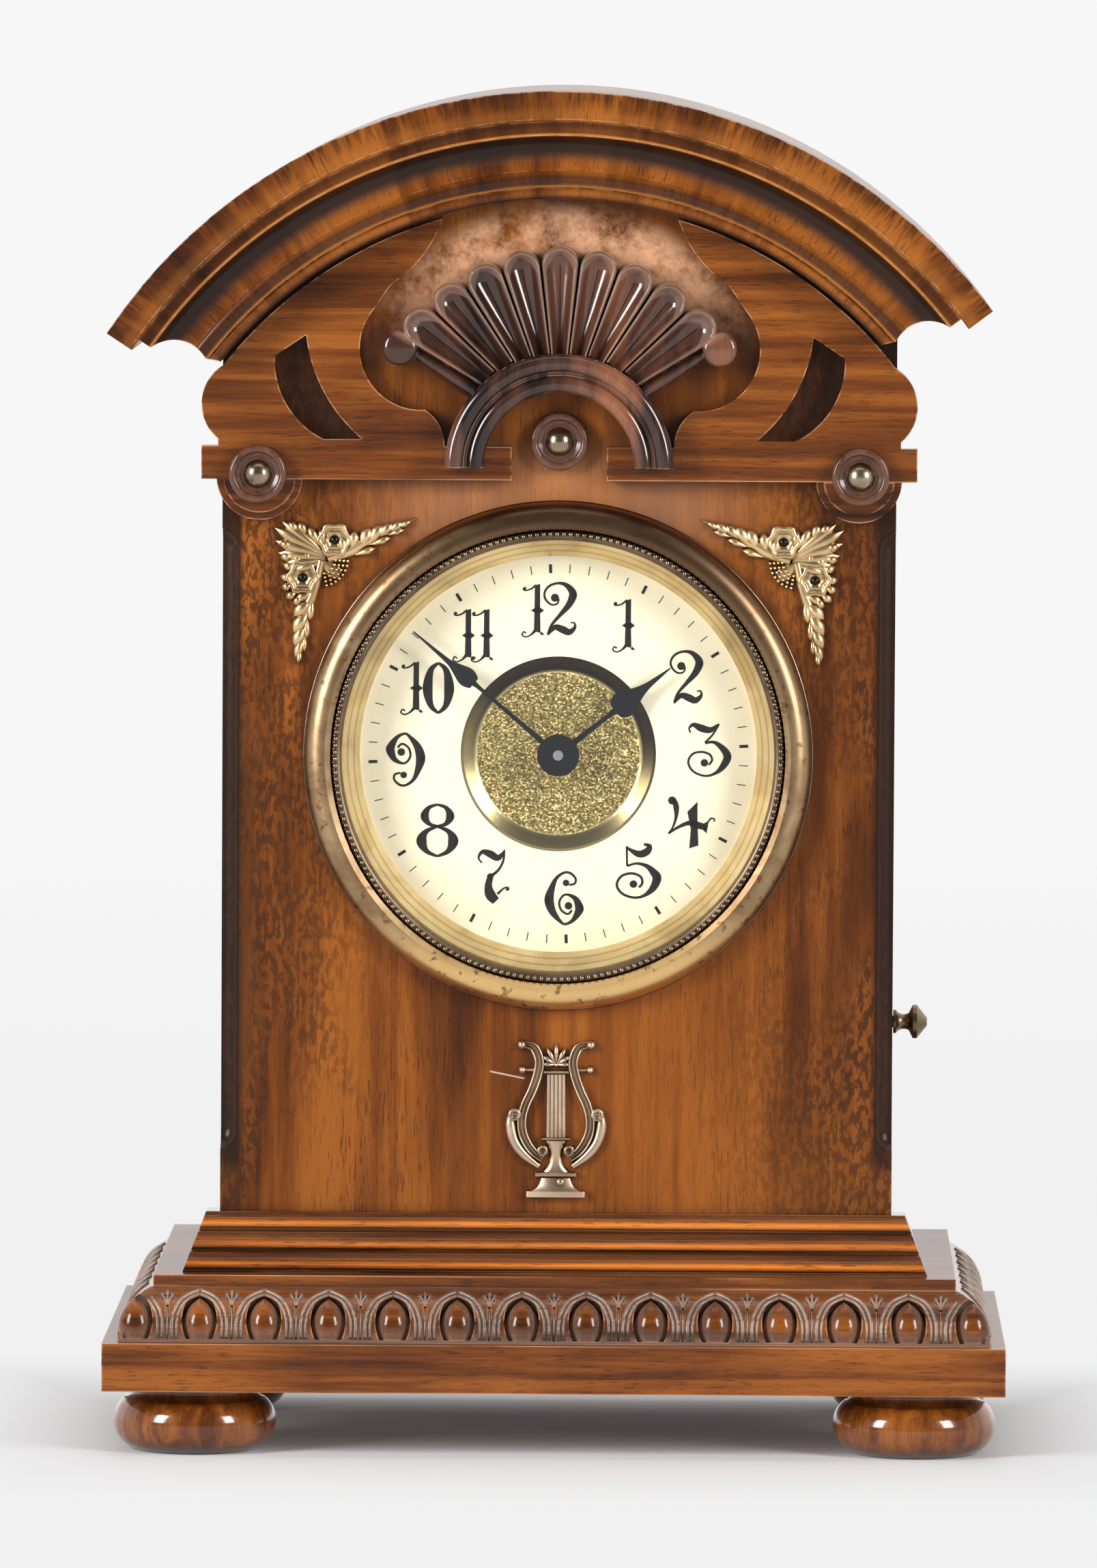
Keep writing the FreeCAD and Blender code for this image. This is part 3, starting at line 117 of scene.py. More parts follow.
class Nodes:
    """A small builder for a tree of nodes."""

    def __init__(self, tree):
        self.tree = tree

    def feed(self, socket, value):
        """Link an output to a socket, or set a constant there."""
        if isinstance(value, bpy.types.NodeSocket):
            self.tree.links.new(value, socket)
        elif isinstance(value, tuple) and len(value) == 3 and socket.type == "RGBA":
            socket.default_value = (*value, 1.0)
        else:
            socket.default_value = value

    def node(self, kind, feeds=None, **settings):
        """Add a node, set its properties and feed the inputs given by name or number."""
        made = self.tree.nodes.new("ShaderNode" + kind)
        for key, value in settings.items():
            setattr(made, key, value)
        for key, value in (feeds or {}).items():
            self.feed(made.inputs[key], value)
        return made

    def math(self, operation, first, second=0.0, clamp=False):
        """One arithmetic step."""
        return self.node("Math", {0: first, 1: second}, operation=operation, use_clamp=clamp).outputs[0]

    def times(self, first, second, clamp=False):
        """The product of two values."""
        return self.math("MULTIPLY", first, second, clamp)

    def plus(self, first, second):
        """The sum of two values."""
        return self.math("ADD", first, second)

    def less(self, first, second):
        """The first value less the second."""
        return self.math("SUBTRACT", first, second)

    def size(self, value):
        """A value without its sign."""
        return self.math("ABSOLUTE", value)

    def most(self, first, second):
        """The larger of two values."""
        return self.math("MAXIMUM", first, second)

    def length(self, first, second):
        """The long side of a right triangle."""
        return self.math("SQRT", self.plus(self.times(first, first), self.times(second, second)))

    def split(self, vector):
        """The three parts of a vector."""
        return tuple(self.node("SeparateXYZ", {0: vector}).outputs)

    def join(self, x, y, z):
        """A vector from three parts."""
        return self.node("CombineXYZ", {0: x, 1: y, 2: z}).outputs[0]

    def noise(self, vector, scale, detail=4.0, roughness=0.55, distortion=0.0):
        """Cloudy noise from 0 to 1, with one scale or a scale along each axis."""
        each = scale if isinstance(scale, tuple) else (scale, scale, scale)
        spread = self.node("VectorMath", {0: vector, 1: each}, operation="MULTIPLY").outputs[0]
        feeds = {"Vector": spread, "Scale": 1.0, "Detail": detail, "Roughness": roughness,
                 "Distortion": distortion}
        return self.node("TexNoise", feeds).outputs["Fac"]

    def span(self, value, low, high, to_low=0.0, to_high=1.0, kind="SMOOTHSTEP"):
        """Map one range to another and clamp it, smoothly unless another kind is given."""
        feeds = {"Value": value, "From Min": low, "From Max": high, "To Min": to_low, "To Max": to_high}
        return self.node("MapRange", feeds, interpolation_type=kind).outputs["Result"]

    def band(self, value, start, full, fade, end):
        """1 from full to fade along a value, falling to 0 at the start and the end."""
        return self.times(self.span(value, start, full), self.span(value, end, fade))

    def stripe(self, value, place, edge, core):
        """1 within a core width of a place, falling to 0 at the edge width."""
        return self.span(self.size(self.less(value, place)), edge, core)

    def between(self, share, first, second):
        """A value part of the way from one to another."""
        return self.node("Mix", {0: share, 2: first, 3: second}).outputs[0]

    def ramp(self, value, *stops):
        """Colours along a value, given as place and colour pairs."""
        made = self.node("ValToRGB", {0: value})
        points = made.color_ramp.elements
        while len(points) < len(stops):
            points.new(0.5)
        for point, (where, colour) in zip(points, stops):
            point.position = where
            point.color = (*colour, 1.0)
        return made.outputs[0]

    def mix(self, share, first, second, blend="MIX"):
        """Blend two colours."""
        feeds = {0: share, 6: first, 7: second}
        return self.node("Mix", feeds, data_type="RGBA", blend_type=blend).outputs[2]

    def tint(self, colour, other, mask, share):
        """Lay another colour over the first where the mask is, by a share."""
        return self.mix(self.times(mask, share), colour, other)


class Shader(Nodes):
    """The nodes of one material."""

    def __init__(self, name):
        self.material = bpy.data.materials.new(name)
        self.material.use_nodes = True
        super().__init__(self.material.node_tree)
        self.tree.nodes.clear()
        self.out = self.node("OutputMaterial").inputs[0]
        self.surface = self.node("BsdfPrincipled")
        self.feed(self.out, self.surface.outputs[0])

    def set(self, **values):
        """Feed sockets of the main shader, with underscores for spaces."""
        for key, value in values.items():
            self.feed(self.surface.inputs[key.replace("_", " ")], value)

    def show_mix(self, share, first, second):
        """Show a mix of two shader nodes on the surface."""
        made = self.node("MixShader", {0: share, 1: first.outputs[0], 2: second.outputs[0]})
        self.feed(self.out, made.outputs[0])

    def place(self):
        """Position in the clock's own frame, in metres."""
        return self.node("TexCoord").outputs["Object"]

    def from_dial(self):
        """Position, distance right of and above the dial's centre, and distance from it."""
        here = self.place()
        x, _, z = self.split(here)
        up = self.less(z, dial_z)
        return here, x, up, self.length(x, up)

    def bump(self, height, strength, distance):
        """Surface relief from a height."""
        made = self.node("Bump", {"Strength": strength, "Distance": distance, "Height": height})
        self.set(Normal=made.outputs[0])

    def hollows(self, distance):
        """1 in the open and near 0 in grooves."""
        return self.node("AmbientOcclusion", {"Distance": distance}, samples=6).outputs["AO"]

    def arrises(self, radius):
        """Near 1 along sharp edges and 0 on flat faces."""
        soft = self.node("Bevel", {"Radius": radius}, samples=6).outputs[0]
        true = self.node("NewGeometry").outputs["Normal"]
        dot = self.node("VectorMath", {0: soft, 1: true}, operation="DOT_PRODUCT").outputs["Value"]
        return self.span(dot, 0.995, 0.90)


def fibre(shader, grain):
    """Coordinates with the third one along the wood's fibres."""
    here = shader.place()
    x, y, z = shader.split(here)
    if grain == "across":
        return shader.join(z, y, x)
    if grain == "deep":
        return shader.join(x, z, y)
    if grain == "arch":
        rise = shader.less(z, arch_z)
        angle = shader.math("ARCTAN2", x, rise)
        reach = shader.length(x, rise)
        return shader.join(shader.times(angle, ARCH_RADIUS), y, reach)
    return here


def walnut(name, grain="upright", light=WALNUT_LIGHT, mid=WALNUT_MID, dark=WALNUT_DARK, tone=0.0,
           groove=0.0, edge=0.0, marks=None, gloss=0.34, polish=0.35, hollow_tone=None, depth=5.0, streaks=0.58,
           pored=0.6):
    """Polished walnut: broad figure, streaks, short dark pores, painted shade in grooves that stands in part
    for grime, and worn edges.
    """
    wood = Shader(name)
    lie = fibre(wood, grain)
    figure = wood.noise(lie, (26.0, 26.0, 6.0), detail=3.0, distortion=1.2)
    streak = wood.noise(lie, (230.0, 230.0, 9.0), detail=6.0, roughness=0.62, distortion=0.3)
    fine = wood.noise(lie, (1500.0, 1500.0, 60.0), detail=3.0)
    blend = wood.plus(wood.times(figure, 1.0 - streaks), wood.times(streak, streaks))
    blend = wood.plus(blend, tone)
    colour = wood.ramp(blend, (0.36, dark), (0.48, mid), (0.61, light))
    pores = wood.span(wood.noise(lie, (1900.0, 1900.0, 150.0), detail=2.0), 0.56, 0.66)
    crowd = wood.span(wood.noise(lie, (34.0, 34.0, 20.0), detail=4.0), 0.42, 0.62)
    crowd = wood.times(wood.plus(wood.times(crowd, 0.55), 0.45), pored)
    colour = wood.tint(colour, PORE, pores, crowd)
    colour = wood.tint(colour, dark, fine, 0.22)
    if marks:
        colour = marks(wood, colour)
    if grain == "arch":
        colour = arch_marks(wood, lie, colour)
    # Painted shade in grooves and recesses found by ambient occlusion, standing in part for grime; the eggs
    # take the pale wax colour here instead
    if groove:
        sunk = wood.times(wood.less(1.0, wood.hollows(depth * MM)), groove, clamp=True)
        colour = wood.mix(sunk, colour, hollow_tone or PAINTED_SHADE)
    if edge:
        rub = wood.times(wood.arrises(0.7 * MM), wood.span(streak, 0.42, 0.60), clamp=True)
        colour = wood.tint(colour, WORN, rub, edge)
    wood.set(Base_Color=colour, Coat_Weight=polish, Coat_Roughness=0.11, IOR=1.48, Specular_IOR_Level=0.12)
    wood.set(Roughness=wood.plus(wood.times(streak, 0.16), gloss - 0.06))
    relief = wood.less(wood.times(streak, 0.35), wood.times(pores, pored))
    wood.bump(relief, 0.18, 0.12 * MM)
    return wood.material


def panel_marks(wood, colour):
    """Dark flecked clouds on the sides, painted shade in the hollowed edges, behind the fret openings and
    over the right side, a pale worn halo round the fan, a pale patch above the bezel that is painted light
    with some wear, and a scratch.
    """
    here = wood.place()
    x, _, z = wood.split(here)
    wide = wood.size(x)
    cloud = wood.noise(here, (17.0, 17.0, 8.0), detail=4.0, distortion=0.8)
    speck = wood.noise(here, (620.0, 620.0, 260.0), detail=3.0)
    side = wood.span(wide, 0.035, 0.095)
    dots = wood.times(wood.span(speck, 0.45, 0.55), wood.span(cloud, 0.37, 0.50))
    colour = wood.mix(wood.times(dots, wood.times(side, 0.95)), colour, PORE)
    colour = wood.tint(colour, WALNUT_LIGHT, wood.span(cloud, 0.36, 0.64), 0.30)
    # Painted shade in the hollow chamfers along both side edges
    border = wood.span(wide, panel_high.x - 0.0072, panel_high.x - 0.0045)
    edge = wood.times(border, wood.band(z, 0.078, 0.086, 0.284, 0.290))
    colour = wood.tint(colour, PAINTED_SHADE, edge, 0.86)
    # Painted shade: the right side darker, as less light falls there
    colour = wood.mix(wood.span(x, 0.030, 0.100, 0.0, 0.32), colour, WALNUT_DARK)
    # Painted shade on the panel seen through the fret openings
    slot_shade = wood.times(wood.span(wide, 0.056, 0.062), wood.span(z, 0.294, 0.300))
    colour = wood.tint(colour, PAINTED_SHADE, slot_shade, 0.72)
    halo_z = 0.306
    reach = wood.length(x, wood.less(z, halo_z))
    near = wood.times(wood.span(reach, 0.064, 0.056), wood.span(z, 0.316, 0.350))
    scuff = wood.span(wood.noise(here, 70.0, detail=9.0, roughness=0.72), 0.33, 0.60)
    colour = wood.tint(colour, WORN, wood.times(near, scuff), 0.95)
    # Pale patch above the bezel: painted light lifting the shade there, with some wear
    lit_and_worn = wood.times(wood.span(wide, 0.070, 0.030), wood.band(z, 0.262, 0.272, 0.288, 0.300))
    colour = wood.tint(colour, WORN, lit_and_worn, 0.18)
    bend = wood.less(z, wood.times(x, SCRATCH_SLOPE))
    line = wood.stripe(bend, SCRATCH_HEIGHT, 0.00035, 0.0001)
    short = wood.band(x, -0.0200, -0.0190, -0.0100, -0.0090)
    return wood.tint(colour, SCRATCH, wood.times(line, short), 0.8)


def arch_marks(wood, lie, colour):
    """Painted shade in the hollow of the arch and under the fillet, painted highlight lines along two
    arrises, a painted band of light on the fascia and a dark flecked outer edge.
    """
    _, _, reach = wood.split(lie)
    # Painted shade in the cove of the arch, deepest under its top
    upper = wood.band(reach, 0.1362, 0.1408, 0.1446, 0.1456)
    lower = wood.band(reach, 0.1302, 0.1312, 0.1325, 0.1350)
    inner = wood.span(reach, 0.1285, 0.1262)
    below = wood.most(wood.times(lower, 0.72), wood.times(inner, 0.80))
    hollow = wood.most(wood.times(upper, 0.94), below)
    colour = wood.mix(hollow, colour, PAINTED_SHADE)
    # Painted shadow line under the fillet
    fillet = wood.band(reach, 0.1452, 0.1460, 0.1478, 0.1492)
    colour = wood.tint(colour, PAINTED_SHADE, fillet, 0.45)
    short = wood.noise(lie, (900.0, 900.0, 120.0), detail=3.0)
    outer = wood.times(wood.span(reach, 0.1500, 0.1580), wood.span(short, 0.44, 0.58))
    colour = wood.tint(colour, PORE, outer, 0.62)
    burnt = wood.span(wood.noise(lie, (60.0, 60.0, 20.0), detail=4.0), 0.34, 0.62)
    border = wood.times(wood.span(reach, 0.1525, 0.1572), burnt)
    colour = wood.tint(colour, WALNUT_DARK, border, 0.60)
    # Painted band of light across the fascia of the arch
    band = wood.band(reach, 0.1478, 0.1492, 0.1512, 0.1540)
    colour = wood.tint(colour, WALNUT_HIGHLIGHT, band, 0.15)
    # Painted highlight lines along the fillet edge and the lower bead
    for place in (0.1452, 0.1299):
        line = wood.stripe(reach, place, 0.0007, 0.0002)
        colour = wood.tint(colour, WALNUT_HIGHLIGHT, line, 0.75)
    return colour


def reed_marks(wood, colour):
    """Each reed gets a painted highlight band below its crown, painted shade above it and black painted shade
    in the quirk.
    """
    low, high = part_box("reeded_moulding")
    _, _, z = wood.split(wood.place())
    share = wood.math("DIVIDE", wood.less(z, low.z), (high.z - low.z) / REED_COUNT)
    place = wood.math("FRACT", share)
    # Painted light and shade across each reed: shaded quirk, highlight band, shaded upper half
    tone = wood.ramp(place, (0.04, (0.12, 0.10, 0.09)), (0.15, (1.0, 0.96, 0.94)), (0.27, (2.9, 2.9, 2.9)),
                     (0.49, (2.6, 2.6, 2.6)), (0.66, (0.66, 0.62, 0.62)), (0.92, (0.32, 0.29, 0.30)))
    return wood.mix(0.92, colour, tone, "MULTIPLY")


def fan_marks(wood, colour):
    """Each petal gets painted shade in its hollow, deepest on the left, and a painted sheen highlight in the
    wax colour on its rolled rim.
    """
    low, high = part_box("shell_ring")
    x, _, z = wood.split(wood.place())
    out = wood.less(x, (low.x + high.x) / 2)
    up = wood.less(z, high.z - FAN_RING + FAN_RISE)
    angle = wood.math("ARCTAN2", out, up)
    reach = wood.length(out, up)
    share = wood.math("FRACT", wood.plus(wood.math("DIVIDE", angle, FAN_PITCH), 0.5))
    off = wood.size(wood.less(share, 0.5))
    bowed = wood.plus(reach, wood.times(wood.times(off, off), 0.035))
    rim = wood.most(wood.span(off, 0.30, 0.44), wood.span(bowed, 0.0514, 0.0527))
    rim = wood.times(rim, wood.span(wood.size(angle), FAN_PITCH * 4.6, FAN_PITCH * 4.4))
    # Painted shade in the petal hollows, deeper on the left
    hollow = wood.times(wood.less(1.0, rim), wood.span(out, 0.020, -0.030, 0.28, 0.74))
    colour = wood.mix(hollow, colour, STAIN_DARK)
    # Painted sheen highlight on the rims, in the pale wax colour
    return wood.tint(colour, WAX_AND_SHEEN, rim, 0.55)


def aged_metal(name, bright, dull, dark, rough, patina, spots=0.0):
    """Old gilt or brass: bright where rubbed, dull elsewhere, dark in the hollows."""
    metal = Shader(name)
    here = metal.place()
    cloud = metal.noise(here, 60.0, detail=5.0, distortion=0.7)
    colour = metal.ramp(cloud, (0.36, dull), (0.60, bright))
    hollow_tone = metal.times(metal.less(1.0, metal.hollows(2.5 * MM)), patina, clamp=True)
    colour = metal.mix(hollow_tone, colour, dark)
    if spots:
        tarnish = metal.span(metal.noise(here, 260.0, detail=5.0), 0.58, 0.68)
        colour = metal.tint(colour, dark, tarnish, spots)
    metal.set(Base_Color=colour, Metallic=1.0)
    metal.set(Roughness=metal.plus(metal.times(cloud, 0.22), rough - 0.10))
    metal.bump(metal.noise(here, 900.0, detail=2.0), 0.10, 0.10 * MM)
    return metal.material


def plain(name, colour, rough, metallic=0.0, coat=0.0, shine=0.5):
    """A finish of one even colour."""
    made = Shader(name)
    made.set(Base_Color=colour, Roughness=rough, Metallic=metallic)
    made.set(Coat_Weight=coat, Specular_IOR_Level=shine)
    return made.material


def bezel_finish():
    """Lacquered brass with copper spots, with a painted dark reflection over the top and right and a painted
    bright gold reflection along the bottom; the left stays gold.
    """
    brass = Shader("bezel_finish")
    here = brass.place()
    x, _, z = brass.split(here)
    up = brass.less(z, dial_z)
    cloud = brass.noise(here, 70.0, detail=6.0, roughness=0.65, distortion=0.5)
    # Painted dark reflection, strongest at the top and right
    high = brass.plus(brass.times(up, 14.0), brass.times(x, 4.0))
    painted_dark_upper = brass.span(brass.plus(high, cloud), 0.85, 1.55)
    colour = brass.ramp(cloud, (0.34, (0.235, 0.135, 0.065)), (0.62, (0.415, 0.285, 0.158)))
    colour = brass.tint(colour, (0.115, 0.062, 0.036), painted_dark_upper, 0.80)
    # Painted bright gold reflection along the bottom
    colour = brass.mix(brass.span(up, -0.042, -0.066, 0.0, 0.85), colour, (0.92, 0.60, 0.25))
    spot = brass.span(brass.noise(here, 330.0, detail=4.0), 0.60, 0.67)
    colour = brass.tint(colour, (0.20, 0.075, 0.030), spot, 0.75)
    brass.set(Base_Color=colour, Metallic=1.0)
    brass.set(Roughness=brass.plus(brass.times(cloud, 0.20), 0.24))
    brass.bump(brass.noise(here, 700.0, detail=3.0), 0.08, 0.10 * MM)
    return brass.material


def dial_finish():
    """Cream painted dial, a little browner near the rim and faintly stained."""
    cream = Shader("dial_finish")
    here, _, _, reach = cream.from_dial()
    stain = cream.noise(here, 45.0, detail=5.0)
    aged = cream.times(cream.span(reach, 0.040, 0.060), cream.span(stain, 0.30, 0.62))
    colour = cream.mix(cream.times(aged, 0.55), (0.97, 0.895, 0.655), (0.84, 0.71, 0.44))
    cream.set(Base_Color=colour, Roughness=0.45)
    return cream.material


def flange_finish():
    """Bright brass ring round the dial with fine turned lines."""
    brass = Shader("flange_finish")
    here, _, _, reach = brass.from_dial()
    cloud = brass.noise(here, 60.0, detail=5.0, distortion=0.7)
    colour = brass.ramp(cloud, (0.36, (0.66, 0.48, 0.22)), (0.60, (0.86, 0.69, 0.38)))
    for place in (0.0602, 0.0620):
        line = brass.stripe(reach, place, 0.0004, 0.0001)
        colour = brass.tint(colour, (0.22, 0.13, 0.05), line, 0.40)
    brass.set(Base_Color=colour, Metallic=1.0, Roughness=brass.plus(brass.times(cloud, 0.2), 0.28))
    return brass.material


def dish_finish():
    """Gilt granulated by many small sparkling facets, inside a smooth turned rim with painted light: shaded
    towards the top right and bright towards the bottom left.
    """
    gilt = Shader("dish_finish")
    here, x, up, reach = gilt.from_dial()
    spots = gilt.node("TexVoronoi", {"Vector": here, "Scale": 2300.0})
    grain, _, _ = gilt.split(spots.outputs["Color"])
    colour = gilt.ramp(grain, (0.12, (0.10, 0.070, 0.022)), (0.70, (0.33, 0.255, 0.086)),
                       (0.97, (0.90, 0.72, 0.33)))
    # Painted light on the turned rim: bright at the lower left, shaded at the upper right
    slant = gilt.plus(up, gilt.times(x, 0.35))
    rim = gilt.ramp(gilt.span(slant, -0.028, 0.028), (0.0, (0.44, 0.36, 0.18)), (0.45, (0.24, 0.185, 0.08)),
                    (0.85, (0.050, 0.034, 0.020)))
    edge = gilt.span(reach, 0.0240, 0.0243)
    colour = gilt.mix(edge, colour, rim)
    gleam = gilt.stripe(reach, 0.0244, 0.0006, 0.0002)
    colour = gilt.tint(colour, (0.78, 0.66, 0.36), gleam, 0.8)
    gilt.set(Base_Color=colour, Metallic=1.0, Roughness=gilt.span(edge, 0.0, 1.0, 0.42, 0.24))
    rough = gilt.times(spots.outputs["Distance"], gilt.less(1.0, edge))
    gilt.bump(rough, 0.6, 0.4 * MM)
    return gilt.material


def glass_finish():
    """Thin clear glass that lets light through without bending the view."""
    glass = Shader("glass_finish")
    glass.show_mix(0.025, glass.node("BsdfTransparent"), glass.node("BsdfGlossy", {"Roughness": 0.02}))
    glass.tree.nodes.remove(glass.surface)
    return glass.material


def paper_finish():
    """White paper as bright as the backdrop, shaded only close round the foot of the clock."""
    paper = Shader("paper")
    x, y, _ = paper.split(paper.place())
    far = paper.span(y, 0.03, 0.20, 0.05, 1.0)
    near = paper.span(y, -0.075, -0.20, 0.0, 0.94)
    aside = paper.span(paper.size(x), 0.120, 0.190, 0.0, 0.90)
    paper.set(Base_Color=(0.85, 0.85, 0.86), Roughness=0.9)
    glow = paper.node("Emission", {"Strength": paper.span(y, 0.5, 3.0, FLOOR_GLOW, BACKDROP)})
    paper.show_mix(paper.most(far, paper.most(near, aside)), paper.surface, glow)
    return paper.material


# The finishes, and the pieces that wear them
finish = {
    "panel": walnut("walnut_panel", marks=panel_marks, groove=0.42, depth=6.0, polish=0.14, streaks=0.36),
    "upright": walnut("walnut_upright", edge=0.5),
    "across": walnut("walnut_across", "across", groove=0.5, edge=0.6),
    "deep": walnut("walnut_deep", "deep", groove=0.6, edge=0.5),
    "arch": walnut("walnut_arch", "arch", tone=0.05, groove=0.8, edge=0.6, polish=0.24, streaks=0.30),
    "fret": walnut("walnut_fret", "across", tone=-0.02, edge=0.7, groove=0.3),
    "reeds": walnut("walnut_reeds", "across", tone=0.05, groove=1.5, edge=0.3, depth=3.0, gloss=0.22,
                    polish=0.9, marks=reed_marks),
    "eggs": walnut("walnut_eggs", "across", tone=-0.02, groove=1.3, edge=0.4, gloss=0.24, polish=0.6,
                   hollow_tone=WAX_AND_SHEEN),
    # Egg rims: pale wax tones that also stand in for their painted sheen
    "rims": walnut("walnut_rims", "across", RIM_LIGHT, WAX_AND_SHEEN, RIM_DARK, groove=0.6, gloss=0.26, polish=0.7),
    "feet": walnut("walnut_feet", tone=0.03, groove=0.8, gloss=0.20, polish=1.0),
    "stain": walnut("walnut_stained", "upright", STAIN_LIGHT, STAIN_MID, STAIN_DARK, groove=0.8, edge=0.5,
                    depth=3.0, gloss=0.18, polish=1.0, streaks=0.25, pored=0.25, tone=-0.03),
    "fan": walnut("walnut_fan", "upright", STAIN_LIGHT, STAIN_MID, STAIN_DARK, marks=fan_marks, groove=0.6,
                  edge=0.5, depth=3.0, gloss=0.16, polish=1.0, streaks=0.3, pored=0.25),
    "turned": walnut("walnut_turned", "deep", TURNED_LIGHT, STAIN_MID, STAIN_DARK, groove=1.0, gloss=0.26,
                     polish=0.6),
    "gilt": aged_metal("gilt_finish", (0.86, 0.62, 0.33), (0.58, 0.38, 0.19), (0.080, 0.045, 0.022),
                       0.30, 1.0),
    "lyre": aged_metal("lyre_finish", (0.78, 0.58, 0.42), (0.52, 0.37, 0.25), (0.070, 0.040, 0.026),
                       0.30, 1.0),
    "bezel": bezel_finish(),
    "beads": aged_metal("bead_finish", (0.33, 0.245, 0.165), (0.18, 0.128, 0.084), (0.03, 0.02, 0.014),
                        0.20, 1.0),
    "flange": flange_finish(),
    "domes": aged_metal("dome_finish", (0.40, 0.31, 0.21), (0.20, 0.15, 0.10), (0.04, 0.03, 0.02),
                        0.24, 1.0, 0.7),
    "bronze": aged_metal("bronze_finish", (0.36, 0.26, 0.16), (0.17, 0.12, 0.075), (0.02, 0.014, 0.01),
                         0.34, 1.3),
    "channel": aged_metal("channel_finish", (0.23, 0.16, 0.105), (0.14, 0.095, 0.062), (0.02, 0.014, 0.01),
                          0.40, 1.0),
    "brass": aged_metal("movement_finish", (0.82, 0.63, 0.31), (0.66, 0.47, 0.20), (0.16, 0.10, 0.04),
                        0.28, 0.6),
    "steel": plain("steel_finish", (0.52, 0.53, 0.55), 0.28, 1.0),
    "iron": plain("iron_finish", (0.10, 0.095, 0.09), 0.48, 1.0),
    "black": plain("hand_finish", (0.006, 0.007, 0.010), 0.38, 0.0, 0.05, 0.14),
    "pins": plain("pin_finish", (0.030, 0.027, 0.024), 0.22, 1.0),
    "print": plain("print_finish", (0.010, 0.009, 0.008), 0.50, shine=0.08),
    "cream": dial_finish(),
    "dish": dish_finish(),
    "glass": glass_finish(),
    "paper": paper_finish(),
}

wears = {
    "panel": ["front_panel"],
    "upright": ["side_panel_left", "side_panel_right", "back_door", "upper_back_board"],
    "across": ["plinth_board", "step_board"],
    "arch": ["arch_moulding"],
    "deep": ["roof_board"],
    "fret": ["fret_left", "fret_right", "corbels"],
    "reeds": ["reeded_moulding"],
    "eggs": ["egg_moulding_front", "egg_moulding_left", "egg_moulding_right"],
    "feet": ["bun_feet"],
    "stain": ["shell_fan", "shell_ring"],
    "turned": ["rosettes"],
    "gilt": ["corner_mount_left", "corner_mount_right"],
    "lyre": ["lyre_mount"],
    "bezel": ["bezel_ring"],
    "flange": ["sight_ring"],
    "domes": ["rosette_domes"],
    "bronze": ["pull_knob"],
    "channel": ["bead_ring"],
    "black": ["minute_hand", "hour_hand", "hand_nut"],
    "cream": ["dial_plate"],
    "dish": ["dial_dish"],
    "glass": ["dial_glass"],
    "brass": ["front_plate", "back_plate", "centre_wheel", "cannon_pinion", "minute_wheel", "hour_wheel",
              "going_barrel", "third_wheel", "escape_wheel", "balance_wheel", "music_cylinder",
              "music_barrel", "turn_button", "hinge_leaves", "door_leaves"],
    "iron": ["music_bed", "music_governor"],
    "steel": ["plate_pillars", "movement_posts", "centre_arbor", "winding_key", "pallet_lever", "hairspring",
              "set_knob", "music_key", "music_comb"],
}

for key, names in wears.items():
    for name in names:
        nodes[name].data.materials.clear()
        nodes[name].data.materials.append(finish[key])


def object_from(name, verts, faces, key, smooth=True):
    """A mesh object in the clock's frame with one finish."""
    mesh = bpy.data.meshes.new(name)
    mesh.from_pydata(verts, [], faces)
    mesh.validate()
    mesh.update()
    for face in mesh.polygons:
        face.use_smooth = smooth
    made = bpy.data.objects.new(name, mesh)
    bpy.context.scene.collection.objects.link(made)
    mesh.materials.append(finish[key])
    return made


def studio():
    """White floor and a bright backdrop, which is dimmer from the front where polish mirrors it."""
    corners = [(x * FLOOR_HALF, y * FLOOR_HALF, 0.0) for x, y in ((-1, -1), (1, -1), (1, 1), (-1, 1))]
    floor = object_from("floor", corners, [(0, 1, 2, 3)], "paper", False)
    world = bpy.data.worlds.new("studio")
    bpy.context.scene.world = world
    world.use_nodes = True
    sky = Nodes(world.node_tree)
    back = sky.tree.nodes["Background"]
    sky.feed(back.inputs["Color"], (1.0, 1.0, 1.0))
    seen = sky.node("LightPath").outputs
    _, depth, _ = sky.split(sky.node("TexCoord").outputs["Generated"])
    mirrored = sky.span(depth, -0.55, 0.35, 0.14, 1.15, "LINEAR")
    direct = sky.most(seen["Is Camera Ray"], seen["Is Transmission Ray"])
    unseen = sky.between(seen["Is Glossy Ray"], FILL, mirrored)
    sky.feed(back.inputs["Strength"], sky.between(direct, unseen, BACKDROP))


def turned_to(place, target):
    """The turn that points a lamp or camera from a place to a target."""
    return (Vector(target) - Vector(place)).to_track_quat("-Z", "Y").to_euler()


def lamp(name, place, width, height, power):
    """A soft rectangular lamp aimed at the middle of the clock."""
    data = bpy.data.lights.new(name, "AREA")
    data.shape = "RECTANGLE"
    data.size = width
    data.size_y = height
    data.energy = power
    made = bpy.data.objects.new(name, data)
    made.location = place
    made.rotation_euler = turned_to(place, LAMP_AIM)
    bpy.context.scene.collection.objects.link(made)


def camera():
    """A long lens a little right of the middle, looking slightly down."""
    data = bpy.data.cameras.new("camera")
    data.lens = LENS
    data.sensor_width = SENSOR
    data.clip_end = FAR_LIMIT
    made = bpy.data.objects.new("camera", data)
    turn = turned_to(STAND, AIM)
    turn.rotate_axis("Z", ROLL)
    made.location = STAND
    made.rotation_euler = turn
    bpy.context.scene.collection.objects.link(made)
    bpy.context.scene.camera = made


